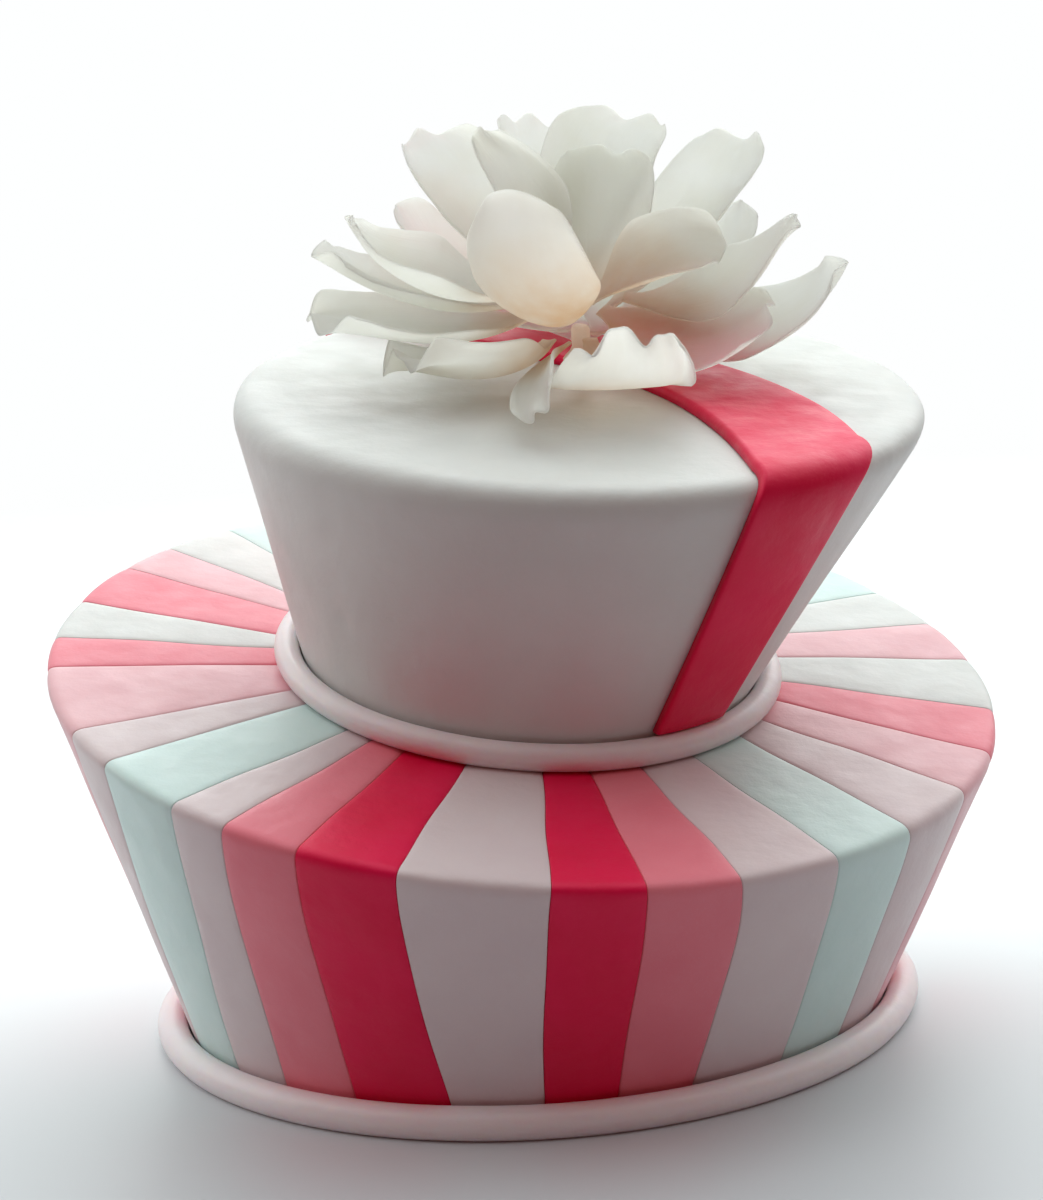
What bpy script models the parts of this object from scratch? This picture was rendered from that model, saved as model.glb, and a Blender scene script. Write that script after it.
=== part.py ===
# Two-tier topsy-turvy celebration cake.
# The lower tier is clad in radiating fondant strips, the upper tier is plain white with one
# wide ribbon of fondant folded over it, and an open flower of sugar petals lies on top.
#
# All sizes are in millimetres and are turned into metres when a mesh is made.
# X runs to the viewer's right, Y away from the viewer and Z up.
# The origin is the middle of the lower tier's foot, on the surface that the cake stands on.
# Directions seen from above are in degrees, counted from +X towards +Y, so 270 faces the viewer.

import math
from collections import namedtuple

import bpy
import numpy as np

METRES_PER_MM = 0.001

# Lower tier: a round cake carved narrower at the foot, with a sloping top.
LOWER_FOOT_RADIUS = 110.0
LOWER_RIM_RADIUS = 150.0
LOWER_RIM_CENTRE = (2.5, 0.0, 112.0)
LOWER_SLOPE = (-0.118, 0.222)
LOWER_EDGE_ROUNDING = 5.0

# Upper tier: stands on the sloping top and leans a little to the right.
UPPER_FOOT_CENTRE = (2.2, -4.8)
UPPER_FOOT_RADIUS = 67.6
UPPER_RIM_RADIUS = 110.0
UPPER_RIM_CENTRE = (25.2, 0.0, 198.0)
UPPER_SLOPE = (-0.066, 0.194)
UPPER_EDGE_ROUNDING = 11.0

# Clearances between pieces that rest on each other.
FITTING_GAP = 0.3
SEAM_GAP = 0.3

# Fondant strips laid over the lower tier.
STRIP_THICKNESS = 3.0
STRIP_INNER_RADIUS = 71.2
STRIP_FOOT_HEIGHT = 1.5
STRIP_FIRST_DIRECTION_RIM = 270.3
STRIP_FIRST_DIRECTION_FOOT = 269.1
STRIP_FIRST_DIRECTION_INNER = 271.7
STRIP_FACET_WIDTH = 14.5
CORE_INSET = STRIP_THICKNESS + 0.5

# Rolled ropes of fondant round the foot of each tier.
LOWER_ROPE_RADIUS = 4.9
UPPER_ROPE_RADIUS = 4.1
ROPE_FLAT_HALF_ANGLE = 25.0

# Ribbon of fondant folded over the upper tier.
RIBBON_THICKNESS = 3.0
RIBBON_END_HEIGHT = 8.7
RIBBON_FRONT_RIM = (-66.5, -46.0)
RIBBON_FRONT_FOOT = (-62.7, -41.9)
RIBBON_FRONT_HEADING = (-0.09, 0.996)
RIBBON_FRONT_REACH = (104.0, 80.0)
RIBBON_BACK_RIM = (138.0, 120.0)
RIBBON_BACK_FOOT = (140.0, 119.0)
RIBBON_BACK_HEADING = (0.845, -0.535)
RIBBON_BACK_REACH = (76.0, 56.0)

# Open flower of sugar paste.
FLOWER_POINT = (27.0, 16.0, 216.0)
PETAL_THICKNESS = 1.4
HEART_RADIUS = 3.0
HEART_FOOT_RADIUS = 6.0

# Number of facets.
TIER_SIDES = 72
ROPE_SIDES = 56
ROPE_ARC_POINTS = 8
RIBBON_COLUMNS = 4
RIBBON_TOP_ROWS = 10
PETAL_ROWS = 9
PETAL_COLUMNS = 8

# Colours, as red, green and blue from 0 to 1 in linear light.
COLOURS = {
    "white": (0.855, 0.855, 0.840),
    "mint_white": (0.730, 0.832, 0.791),
    "pale_blush": (0.807, 0.701, 0.716),
    "light_pink": (0.871, 0.515, 0.558),
    "salmon": (0.753, 0.188, 0.242),
    "hot_pink": (0.610, 0.010, 0.071),
    "rope_pink": (0.871, 0.578, 0.597),
    "petal_white": (0.838, 0.815, 0.768),
}
FONDANT_ROUGHNESS = 0.55

# Cutting list of the strips, in the order they are laid, turning from the front to the right.
# Each has a colour and its width at the rim, at the foot and at the inner end.
Strip = namedtuple("Strip", "colour rim foot inner")
STRIPS = (
    Strip("hot_pink", 26.5, 20.0, 13.5),
    Strip("salmon", 28.0, 21.5, 15.5),
    Strip("pale_blush", 33.0, 30.5, 18.0),
    Strip("mint_white", 30.5, 26.5, 22.5),
    Strip("pale_blush", 35.0, 24.5, 13.5),
    Strip("light_pink", 30.5, 24.5, 14.5),
    Strip("salmon", 34.0, 25.0, 13.5),
    Strip("white", 39.0, 27.0, 16.0),
    Strip("light_pink", 30.0, 21.0, 15.5),
    Strip("white", 30.0, 20.0, 13.5),
    Strip("mint_white", 30.0, 20.0, 13.5),
    Strip("salmon", 30.0, 20.0, 13.5),
    Strip("light_pink", 30.0, 20.0, 13.5),
    Strip("hot_pink", 30.0, 20.0, 13.5),
    Strip("white", 30.0, 20.0, 13.5),
    Strip("pale_blush", 30.0, 20.0, 13.5),
    Strip("salmon", 30.0, 20.0, 13.5),
    Strip("light_pink", 30.0, 20.0, 13.5),
    Strip("mint_white", 30.0, 20.0, 13.5),
    Strip("white", 30.0, 20.0, 13.5),
    Strip("light_pink", 24.5, 15.5, 10.0),
    Strip("salmon", 33.5, 19.0, 17.5),
    Strip("white", 31.5, 20.0, 8.0),
    Strip("salmon", 23.5, 15.5, 12.0),
    Strip("light_pink", 46.5, 26.5, 17.0),
    Strip("pale_blush", 22.5, 17.0, 10.0),
    Strip("mint_white", 31.5, 31.5, 20.5),
    Strip("pale_blush", 19.0, 23.0, 9.0),
    Strip("salmon", 23.5, 25.5, 10.5),
    Strip("hot_pink", 29.0, 29.0, 18.5),
    Strip("pale_blush", 42.0, 25.0, 21.5),
)

# Petals of the flower, from the innermost outwards.
# heading is the direction seen from above, pitch_base and pitch_tip are the rise in degrees,
# cup is half the angle of the cross curve, roll turns a petal about its own length,
# curl bends the last third, swerve turns the length sideways, rise and ring place the base,
# point is how sharp the tip is and broad is where along its length the petal is at its widest.
Petal = namedtuple(
    "Petal",
    "name heading pitch_base pitch_tip length width cup roll curl swerve rise ring"
    " ruffle phase point broad",
)
PETALS = (
    Petal("inner_right", -23.5, 35, 7.5, 46.5, 36, 55.5, 40, -32, 25, 7, 4.5, 0.6, 0.2, 0.0, 0.52),
    Petal("inner_left", 243, -13.5, 123.5, 64, 52, 42, -5, -30, -16, 2, 11.5, 0.4, 0.0, 0.0, 0.48),
    Petal("inner_back_left", 117.5, 82, 30, 65, 23.5, 32.5, -34.5, 32.5, 30, 9, 10.5, 0.8, 0.25, 0.5, 0.52),
    Petal("inner_back", 61, 69, 43, 62.5, 35, 25, 9, -29, 21.5, 6.5, 7.5, 0.8, 0.0, 0.0, 0.52),
    Petal("back_right_far", 78.5, 69, 12.5, 92, 41, 44.5, 14, 2, -18, 8, 12, 1.3, 0.6, 0.0, 0.52),
    Petal("back_left_far", 102, 63, 9, 98, 30, 51.5, 10.5, 23.5, -11.5, 9, 13.5, 1.3, 0.4, 0.0, 0.52),
    Petal("back_left_tall", 120.5, 34, 45, 98, 38.5, 44.5, -13.5, -23.5, 3, 5.5, 12, 1.3, 0.2, 0.0, 0.52),
    Petal("back_right_tall", 29.5, 28, 52.5, 89.5, 35.5, 50, 12.5, -34, 28, 4, 10.5, 1.3, 0.8, 0.0, 0.52),
    Petal("right_point", -7, -17, 64, 65.5, 41, 13, 34.5, -27.5, -30, 8, 14, 0.6, 0.1, 0.7, 0.6),
    Petal("left_point", 180, -10, 56.5, 69, 59, 51, -16.5, 33, 15.5, 11, 14, 0.6, 0.1, 0.8, 0.6),
    Petal("back_left_low", 126, -0.5, 56.5, 81.5, 48, 38, 6, 9.5, 8, 5, 15, 1.2, 0.5, 0.0, 0.55),
    Petal("back_right_low", 34, 0, 66, 64, 46, 20, 0, 4, -8, 3, 14, 1.2, 0.7, 0.0, 0.55),
    Petal("left_mid", 178.5, -14.5, 44, 78.5, 51, 37.5, -13.5, 5, 18.5, 10, 9.5, 1.2, 0.6, 0.0, 0.52),
    Petal("right_front", 333.5, -28, 20, 61, 55, 7, 26, 32, -8, 4.5, 7.5, 1.2, 0.2, 0.0, 0.52),
    Petal("right_far", 2.5, -23.5, 48, 77, 59, 9, 18.5, 33.5, -20.5, -1, 14, 1.3, 0.0, 0.0, 0.52),
    Petal("left_low", 197, -20.5, 29, 76, 61.5, 35.5, -10.5, -25.5, 2.5, 5, 13.5, 1.3, 0.3, 0.0, 0.52),
    Petal("front_tip", 250, -6.5, -17.5, 77, 18.5, 50.5, 37.5, 10, 19.5, -5, 13.5, 0.8, 0.3, 0.0, 0.72),
    Petal("rear_right", 58.5, 5, 29, 70, 48, 28, 4, 0, 0.5, -3.5, 9, 1.3, 0.15, 0.0, 0.52),
    Petal("rear_left", 123, 1.5, 29, 71.5, 47.5, 21.5, 0.5, -7, 0, -2, 8.5, 1.3, 0.85, 0.0, 0.52),
    Petal("rear_middle", 85, 4.5, 23, 76.5, 50.5, 18, 0, 2, -2, -6, 10, 1.3, 0.55, 0.0, 0.52),
    Petal("front_left", 227, -32.5, 35, 63, 54, 51.5, 2, -22, -26, -4, 15, 1.3, 0.1, 0.0, 0.52),
    Petal("front_right", 280.5, -47, 58.5, 75.5, 44, 6, -1.5, -11, -7.5, -4, 12, 1.3, 0.45, 0.0, 0.6),
)

Tier = namedtuple(
    "Tier", "rim_centre slope rim_radius foot_centre foot_slope foot_radius rounding"
)


def unit(vectors):
    """Return vectors scaled to a length of one."""
    vectors = np.asarray(vectors, dtype=float)
    return vectors / np.linalg.norm(vectors, axis=-1, keepdims=True)


def plane_normal(slope):
    """Return the upward normal of a plane that rises by slope along X and Y."""
    return unit((-slope[0], -slope[1], 1.0))


def circle_point(centre, slope, radius, direction):
    """Return points of a circle in a sloping plane, at directions seen from above."""
    turn = np.radians(np.asarray(direction, dtype=float))
    across, away = np.cos(turn), np.sin(turn)
    spoke = unit(np.stack([across, away, slope[0] * across + slope[1] * away], axis=-1))
    return np.asarray(centre) + radius * spoke


def wall_normal(tier, direction):
    """Return the outward normal of a tier's wall at the given directions."""
    direction = np.asarray(direction, dtype=float)
    step = 0.5
    along = circle_point(tier.rim_centre, tier.slope, tier.rim_radius, direction + step)
    along = along - circle_point(tier.rim_centre, tier.slope, tier.rim_radius, direction - step)
    down = circle_point(tier.foot_centre, tier.foot_slope, tier.foot_radius, direction)
    down = down - circle_point(tier.rim_centre, tier.slope, tier.rim_radius, direction)
    return unit(np.cross(down, along))


def rim_point(tier, direction, inset):
    """Return the sharp corner of the rim, moved inwards by inset from top and wall alike."""
    top = plane_normal(tier.slope)
    wall = wall_normal(tier, direction)
    lean = np.sum(top * wall, axis=-1, keepdims=True)
    corner = circle_point(tier.rim_centre, tier.slope, tier.rim_radius, direction)
    return corner - inset * (top + wall) / (1.0 + lean)


def foot_point(tier, direction, inset):
    """Return the foot of the wall, moved inwards so that the wall moves by inset."""
    wall = wall_normal(tier, direction)
    foot = circle_point(tier.foot_centre, tier.foot_slope, tier.foot_radius, direction)
    spoke = unit(foot - np.asarray(tier.foot_centre))
    return foot - inset * spoke / np.sum(spoke * wall, axis=-1, keepdims=True)


def wall_point(tier, rim_direction, foot_direction, share, inset):
    """Return a point of the wall at a share of the way from rim to foot."""
    direction = rim_direction + (foot_direction - rim_direction) * share
    rim = rim_point(tier, direction, inset)
    foot = foot_point(tier, direction, inset)
    return rim + (foot - rim) * share


def edge_rounding(tier, inset):
    """Return how far the rounded edge reaches from the sharp corner."""
    return max(0.8, tier.rounding - 1.43 * inset)


def rounded_corner(start, corner, end, count):
    """Return count points of a smooth bend from start to end that is pulled to corner."""
    points = []
    for step in range(count):
        t = step / (count - 1)
        points.append((1 - t) ** 2 * start + 2 * t * (1 - t) * corner + t * t * end)
    return points


def lower_tier():
    """Return the outer surface of the lower tier, strips included."""
    return Tier(
        LOWER_RIM_CENTRE,
        LOWER_SLOPE,
        LOWER_RIM_RADIUS,
        (0.0, 0.0, 0.0),
        (0.0, 0.0),
        LOWER_FOOT_RADIUS,
        LOWER_EDGE_ROUNDING,
    )


def on_lower_top(x, y, height):
    """Return the point above (x, y) that lies height over the strips' top face."""
    normal = plane_normal(LOWER_SLOPE)
    cx, cy, cz = LOWER_RIM_CENTRE
    level = cz + LOWER_SLOPE[0] * (x - cx) + LOWER_SLOPE[1] * (y - cy)
    return np.array([x, y, level + height / normal[2]])


def upper_tier():
    """Return the outer surface of the upper tier, which stands on the lower tier's core."""
    foot = on_lower_top(*UPPER_FOOT_CENTRE, FITTING_GAP - CORE_INSET)
    return Tier(
        UPPER_RIM_CENTRE,
        UPPER_SLOPE,
        UPPER_RIM_RADIUS,
        tuple(foot),
        LOWER_SLOPE,
        UPPER_FOOT_RADIUS,
        UPPER_EDGE_ROUNDING,
    )


def add_piece(name, points, faces, colour, smooth):
    """Make one closed mesh object with a fondant finish of its own."""
    mesh = bpy.data.meshes.new(name)
    mesh.from_pydata([tuple(p) for p in np.asarray(points) * METRES_PER_MM], [], faces)
    mesh.validate()
    mesh.update()
    for polygon in mesh.polygons:
        polygon.use_smooth = smooth
    piece = bpy.data.objects.new(name, mesh)
    bpy.context.scene.collection.objects.link(piece)
    finish = bpy.data.materials.new(name + "_finish")
    finish.use_nodes = True
    shader = finish.node_tree.nodes["Principled BSDF"]
    shader.inputs["Base Color"].default_value = (*COLOURS[colour], 1.0)
    shader.inputs["Roughness"].default_value = FONDANT_ROUGHNESS
    shader.inputs["Metallic"].default_value = 0.0
    mesh.materials.append(finish)
    return piece


def sheet_solid(front, back):
    """Join two grids of points that face each other into one closed sheet.

    front[row][column] faces out when rows run up and columns run to the right. The narrow faces
    round the edge are split alike on opposite sides, so that neighbouring sheets stay parallel.
    """
    rows, columns = front.shape[:2]
    count = rows * columns
    points = np.concatenate([front.reshape(-1, 3), back.reshape(-1, 3)])
    faces = []
    for row in range(rows - 1):
        for column in range(columns - 1):
            a = row * columns + column
            b = a + 1
            c = b + columns
            d = a + columns
            faces.append((a, b, c))
            faces.append((a, c, d))
            faces.append((a + count, c + count, b + count))
            faces.append((a + count, d + count, c + count))
    border = [column for column in range(columns)]
    border += [row * columns + columns - 1 for row in range(1, rows)]
    border += [(rows - 1) * columns + column for column in range(columns - 2, -1, -1)]
    border += [row * columns for row in range(rows - 2, 0, -1)]
    for here, there in zip(border, border[1:] + border[:1]):
        if here < there:
            faces.append((here, here + count, there + count))
            faces.append((here, there + count, there))
        else:
            faces.append((here, here + count, there))
            faces.append((there, here + count, there + count))
    return points, faces


def ring_solid(rings, closed):
    """Skin a list of rings of points: a closed tube, or a stack with a cap at each end."""
    sides = len(rings[0])
    points = np.concatenate(rings)
    faces = []
    count = len(rings)
    for ring in range(count if closed else count - 1):
        after = (ring + 1) % count
        for side in range(sides):
            beside = (side + 1) % sides
            faces.append(
                (
                    ring * sides + side,
                    ring * sides + beside,
                    after * sides + beside,
                    after * sides + side,
                )
            )
    if not closed:
        faces.append(tuple(range(sides - 1, -1, -1)))
        faces.append(tuple((count - 1) * sides + side for side in range(sides)))
    return points, faces


def add_tier_body(name, tier, inset, colour, top_rings, bend_points, wall_shares):
    """Make the solid body of a tier, from its foot up the wall and over the rounded edge."""
    directions = np.arange(TIER_SIDES) * 360.0 / TIER_SIDES
    rim = rim_point(tier, directions, inset)
    foot = foot_point(tier, directions, inset)
    reach = edge_rounding(tier, inset)
    top_centre = np.asarray(tier.rim_centre) - inset * plane_normal(tier.slope)
    inward = rim + reach * unit(top_centre - rim)
    down = rim + reach * unit(foot - rim)
    rings = [foot]
    for share in wall_shares:
        rings.append(foot + (down - foot) * share)
    rings += rounded_corner(down, rim, inward, bend_points)
    for share in top_rings:
        rings.append(top_centre + (inward - top_centre) * share)
    points, faces = ring_solid(rings, False)
    add_piece(name, points, faces, colour, True)


def strip_line(inner, rim, foot, inset):
    """Return one line across the cladding, from its inner end over the rim to its foot."""
    tier = lower_tier()
    turn = math.radians(inner)
    cx, cy = UPPER_FOOT_CENTRE
    x = cx + STRIP_INNER_RADIUS * math.cos(turn)
    y = cy + STRIP_INNER_RADIUS * math.sin(turn)
    start = on_lower_top(x, y, -inset)
    corner = rim_point(tier, rim, inset)
    reach = edge_rounding(tier, inset)
    wall_length = np.linalg.norm(foot_point(tier, foot, inset) - corner)
    first = reach / wall_length
    last = 1.0 - STRIP_FOOT_HEIGHT / corner[2]
    bend_start = corner + reach * unit(start - corner)
    bend_end = wall_point(tier, rim, foot, first, inset)
    line = [start]
    line += rounded_corner(bend_start, corner, bend_end, 4)
    line.append(wall_point(tier, rim, foot, (first + last) / 2, inset))
    line.append(wall_point(tier, rim, foot, last, inset))
    return np.array(line)


def add_strips():
    """Lay the cladding strips side by side round the lower tier."""
    turned = {"rim": 0.0, "foot": 0.0, "inner": 0.0}
    first = {
        "rim": STRIP_FIRST_DIRECTION_RIM,
        "foot": STRIP_FIRST_DIRECTION_FOOT,
        "inner": STRIP_FIRST_DIRECTION_INNER,
    }
    radius = {"rim": LOWER_RIM_RADIUS, "foot": LOWER_FOOT_RADIUS, "inner": STRIP_INNER_RADIUS}
    total = {end: sum(getattr(strip, end) for strip in STRIPS) for end in turned}
    for number, strip in enumerate(STRIPS, start=1):
        low = {}
        high = {}
        for end in turned:
            seam = math.degrees(SEAM_GAP / 2 / radius[end])
            low[end] = first[end] + turned[end] + seam
            turned[end] += 360.0 * getattr(strip, end) / total[end]
            high[end] = first[end] + turned[end] - seam
        columns = math.ceil(strip.rim / STRIP_FACET_WIDTH)
        outer = []
        under = []
        for column in range(columns + 1):
            share = column / columns
            inner, rim, foot = (
                low[end] + (high[end] - low[end]) * share for end in ("inner", "rim", "foot")
            )
            outer.append(strip_line(inner, rim, foot, 0.0))
            under.append(strip_line(inner, rim, foot, STRIP_THICKNESS))
        points, faces = sheet_solid(np.array(outer), np.array(under))
        add_piece(f"strip_{number:02d}", points, faces, strip.colour, False)


def add_rope(name, tier, base_centre, base_slope, height, radius, colour):
    """Lay a rope that is flattened below against the foot of a tier's wall."""
    flat = math.radians(ROPE_FLAT_HALF_ANGLE)
    drop = radius * math.cos(flat)
    up = plane_normal(base_slope)
    floor = np.asarray(base_centre) + height * up
    rings = []
    for side in range(ROPE_SIDES):
        direction = side * 360.0 / ROPE_SIDES
        foot = foot_point(tier, direction, 0.0)
        rim = rim_point(tier, direction, 0.0)
        wall = wall_normal(tier, direction)
        spoke = unit(foot - np.asarray(tier.foot_centre))
        level = np.dot(foot - floor, up)
        raised = foot + (rim - foot) * (drop - level) / np.dot(rim - foot, up)
        centre = raised + spoke * (radius + FITTING_GAP) / np.dot(spoke, wall)
        ring = []
        for step in range(ROPE_ARC_POINTS):
            turn = flat + (2 * math.pi - 2 * flat) * step / (ROPE_ARC_POINTS - 1)
            ring.append(centre - up * radius * math.cos(turn) - spoke * radius * math.sin(turn))
        rings.append(np.array(ring))
    points, faces = ring_solid(rings, True)
    add_piece(name, points, faces, colour, True)


def ribbon_surface(tier, inset):
    """Return the grid of the ribbon's face at one inset, from its front end to its back end."""
    reach = edge_rounding(tier, inset)
    top_centre = np.asarray(tier.rim_centre) - inset * plane_normal(tier.slope)
    up = plane_normal(LOWER_SLOPE)
    level = on_lower_top(*UPPER_FOOT_CENTRE, 0.0)

    def slope_heading(heading):
        """Return a heading seen from above as a direction in the sloping top."""
        rise = UPPER_SLOPE[0] * heading[0] + UPPER_SLOPE[1] * heading[1]
        return unit((heading[0], heading[1], rise))

    def side_rows(rim_pair, foot_pair, heading, share):
        """Return the points up one wall and round its edge, and the point on the flat top."""
        rim_direction = rim_pair[0] + (rim_pair[1] - rim_pair[0]) * share
        foot_direction = foot_pair[0] + (foot_pair[1] - foot_pair[0]) * share
        corner = rim_point(tier, rim_direction, inset)
        foot = foot_point(tier, foot_direction, inset)
        first = reach / np.linalg.norm(foot - corner)
        rim_height = np.dot(corner - level, up)
        foot_height = np.dot(foot - level, up)
        last = (rim_height - RIBBON_END_HEIGHT) / (rim_height - foot_height)
        inward = unit(top_centre - corner)
        along = slope_heading(heading)
        crossing = corner + along * reach / np.dot(along, inward)
        offset = crossing - top_centre
        top_direction = math.degrees(math.atan2(offset[1], offset[0]))
        turn = (top_direction - rim_direction + 180.0) % 360.0 - 180.0
        rows = []
        for step in range(4):
            part = last + (first - last) * step / 4
            rows.append(wall_point(tier, rim_direction, foot_direction, part, inset))
        for step in range(5):
            t = step / 4
            direction = rim_direction + turn * t
            bend_corner = rim_point(tier, direction, inset)
            bend_top = bend_corner + reach * unit(top_centre - bend_corner)
            bend_wall = wall_point(tier, direction, direction, first, inset)
            if step == 0:
                bend_wall = wall_point(tier, rim_direction, foot_direction, first, inset)
            rows.append(
                (1 - t) ** 2 * bend_wall + 2 * t * (1 - t) * bend_corner + t * t * bend_top
            )
        return rows, along

    grid = []
    for column in range(RIBBON_COLUMNS + 1):
        share = column / RIBBON_COLUMNS
        front, ahead = side_rows(
            RIBBON_FRONT_RIM, RIBBON_FRONT_FOOT, RIBBON_FRONT_HEADING, share
        )
        back, behind = side_rows(RIBBON_BACK_RIM, RIBBON_BACK_FOOT, RIBBON_BACK_HEADING, share)
        start, end = front[-1], back[-1]
        pull_start = start + ahead * np.interp(share, (0.0, 1.0), RIBBON_FRONT_REACH)
        pull_end = end + behind * np.interp(share, (0.0, 1.0), RIBBON_BACK_REACH)
        line = list(front)
        for row in range(1, RIBBON_TOP_ROWS):
            t = row / RIBBON_TOP_ROWS
            line.append(
                (1 - t) ** 3 * start
                + 3 * t * (1 - t) ** 2 * pull_start
                + 3 * t * t * (1 - t) * pull_end
                + t**3 * end
            )
        line += back[::-1]
        grid.append(line)
    return np.array(grid)


def add_ribbon():
    """Fold the ribbon over the upper tier."""
    tier = upper_tier()
    outer = ribbon_surface(tier, -FITTING_GAP - RIBBON_THICKNESS)
    under = ribbon_surface(tier, -FITTING_GAP)
    points, faces = sheet_solid(outer[::-1], under[::-1])
    add_piece("ribbon_band", points, faces, "hot_pink", True)


def ease(share):
    """Return a share of 0 to 1 with a soft start and a soft end."""
    share = np.clip(share, 0.0, 1.0)
    return share * share * (3.0 - 2.0 * share)


def petal_surface(petal, rows, columns):
    """Return the middle surface of a petal as a grid of points, base row first."""
    fine = 81
    along = np.linspace(0.0, 1.0, fine)
    bend = petal.curl * np.clip((along - 0.7) / 0.3, 0.0, 1.0) ** 2
    pitch = np.radians(petal.pitch_base + (petal.pitch_tip - petal.pitch_base) * along + bend)
    heading = np.radians(petal.heading + petal.swerve * along)
    level = np.cos(pitch)
    ahead = np.stack([level * np.cos(heading), level * np.sin(heading), np.sin(pitch)], axis=1)
    turn = math.radians(petal.heading)
    base = np.array(FLOWER_POINT) + np.array(
        [petal.ring * math.cos(turn), petal.ring * math.sin(turn), petal.rise]
    )
    steps = np.cumsum((ahead[1:] + ahead[:-1]) / 2, axis=0) / (fine - 1)
    spine = base + np.concatenate([np.zeros((1, 3)), steps]) * petal.length
    left = np.stack([-np.sin(heading), np.cos(heading), np.zeros(fine)], axis=1)
    inside = np.cross(ahead, left)
    roll = math.radians(petal.roll)
    side = left * math.cos(roll) + inside * math.sin(roll)
    face = inside * math.cos(roll) - left * math.sin(roll)

    up = np.linspace(0.0, 1.0, rows)[:, None] * np.ones(columns)
    across = np.linspace(-1.0, 1.0, columns) * np.ones((rows, 1))
    corner_drop = 0.10 * (1.0 - 0.8 * petal.point) * np.abs(across) ** 1.8
    place = up * (1.0 - corner_drop * up**2)
    spread = 0.11 + 0.89 * ease(up / petal.broad) ** 0.9
    tip_share = 0.70 - 0.5 * petal.point
    tip_start = 0.62 - 0.2 * petal.point
    narrowing = np.clip((up - tip_start) / (1.0 - tip_start), 0.0, 1.0)
    rounded = np.sqrt(1.0 - (1.0 - tip_share**2) * narrowing**2)
    pointed = 1.0 - (1.0 - tip_share) * narrowing
    spread = spread * ((1.0 - petal.point) * rounded + petal.point * pointed)
    half_width = petal.width / 2 * spread
    bow = math.radians(petal.cup) * (0.55 + 0.45 * np.sin(np.pi * np.clip(up, 0.0, 0.85)))
    sideways = half_width * np.sin(across * bow) / bow
    depth = half_width * (1.0 - np.cos(across * bow)) / bow
    edge = np.clip(np.maximum(np.abs(across), (up - 0.35) / 0.65), 0.0, 1.0) ** 3
    edge = edge * ease((up - 0.25) / 0.5)
    wave = np.sin(2 * np.pi * (across * np.clip(up, 0.5, 1.0) + petal.phase))
    depth = depth + petal.ruffle * edge * wave

    index = place * (fine - 1)
    low = np.clip(index.astype(int), 0, fine - 2)
    rest = (index - low)[..., None]

    def at(values):
        """Return values between the fine steps of the spine."""
        return values[low] * (1.0 - rest) + values[low + 1] * rest

    return at(spine) + at(side) * sideways[..., None] + at(face) * depth[..., None]


def add_petal(petal):
    """Make one petal as a thin, wavy sheet with an even thickness."""
    middle = petal_surface(petal, PETAL_ROWS, PETAL_COLUMNS)
    along = np.gradient(middle, axis=0)
    across = np.gradient(middle, axis=1)
    normal = unit(np.cross(across, along))
    front = middle + normal * PETAL_THICKNESS / 2
    back = middle - normal * PETAL_THICKNESS / 2
    points, faces = sheet_solid(front, back)
    add_piece("petal_" + petal.name, points, faces, "petal_white", True)


def add_flower_heart():
    """Make the small cone under the flower that the petals are set on."""
    x, y, top = FLOWER_POINT
    cx, cy, cz = UPPER_RIM_CENTRE
    level = cz + UPPER_SLOPE[0] * (x - cx) + UPPER_SLOPE[1] * (y - cy)
    foot = level + (RIBBON_THICKNESS + 2 * FITTING_GAP) / plane_normal(UPPER_SLOPE)[2]
    sides = 12
    rings = []
    levels = ((HEART_FOOT_RADIUS, foot), (HEART_RADIUS, foot + 4.0), (HEART_RADIUS, top))
    for radius, height in levels:
        ring = []
        for side in range(sides):
            turn = 2 * math.pi * side / sides
            dx = radius * math.cos(turn)
            dy = radius * math.sin(turn)
            lift = UPPER_SLOPE[0] * dx + UPPER_SLOPE[1] * dy
            ring.append((x + dx, y + dy, height + lift))
        rings.append(np.array(ring))
    points, faces = ring_solid(rings, False)
    add_piece("flower_heart", points, faces, "petal_white", True)


def main():
    """Build every piece of the cake."""
    for item in list(bpy.data.objects):
        bpy.data.objects.remove(item, do_unlink=True)
    add_tier_body("lower_tier", lower_tier(), CORE_INSET, "white", (0.5,), 3, (0.5,))
    add_strips()
    add_rope(
        "lower_rope", lower_tier(), (0.0, 0.0, 0.0), (0.0, 0.0), 0.0, LOWER_ROPE_RADIUS, "rope_pink"
    )
    add_tier_body("upper_tier", upper_tier(), 0.0, "white", (0.5,), 6, (0.35, 0.7))
    add_rope(
        "upper_rope",
        upper_tier(),
        on_lower_top(*UPPER_FOOT_CENTRE, 0.0),
        LOWER_SLOPE,
        FITTING_GAP,
        UPPER_ROPE_RADIUS,
        "rope_pink",
    )
    add_ribbon()
    for petal in PETALS:
        add_petal(petal)
    add_flower_heart()


main()
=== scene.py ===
"""Dressed model of a two-tier topsy-turvy celebration cake with a flower of sugar paste.

The shapes are worked out in millimetres and turned into metres when a mesh is made.
X runs to the viewer's right, Y away from the viewer and Z up. The origin is the middle of the
lower tier's foot. Directions seen from above are in degrees, counted from +X towards +Y, so
270 faces the viewer.
"""

import logging
import math
from dataclasses import dataclass, field
from enum import Enum

import bpy
import numpy as np
from mathutils import Matrix, Vector


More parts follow.
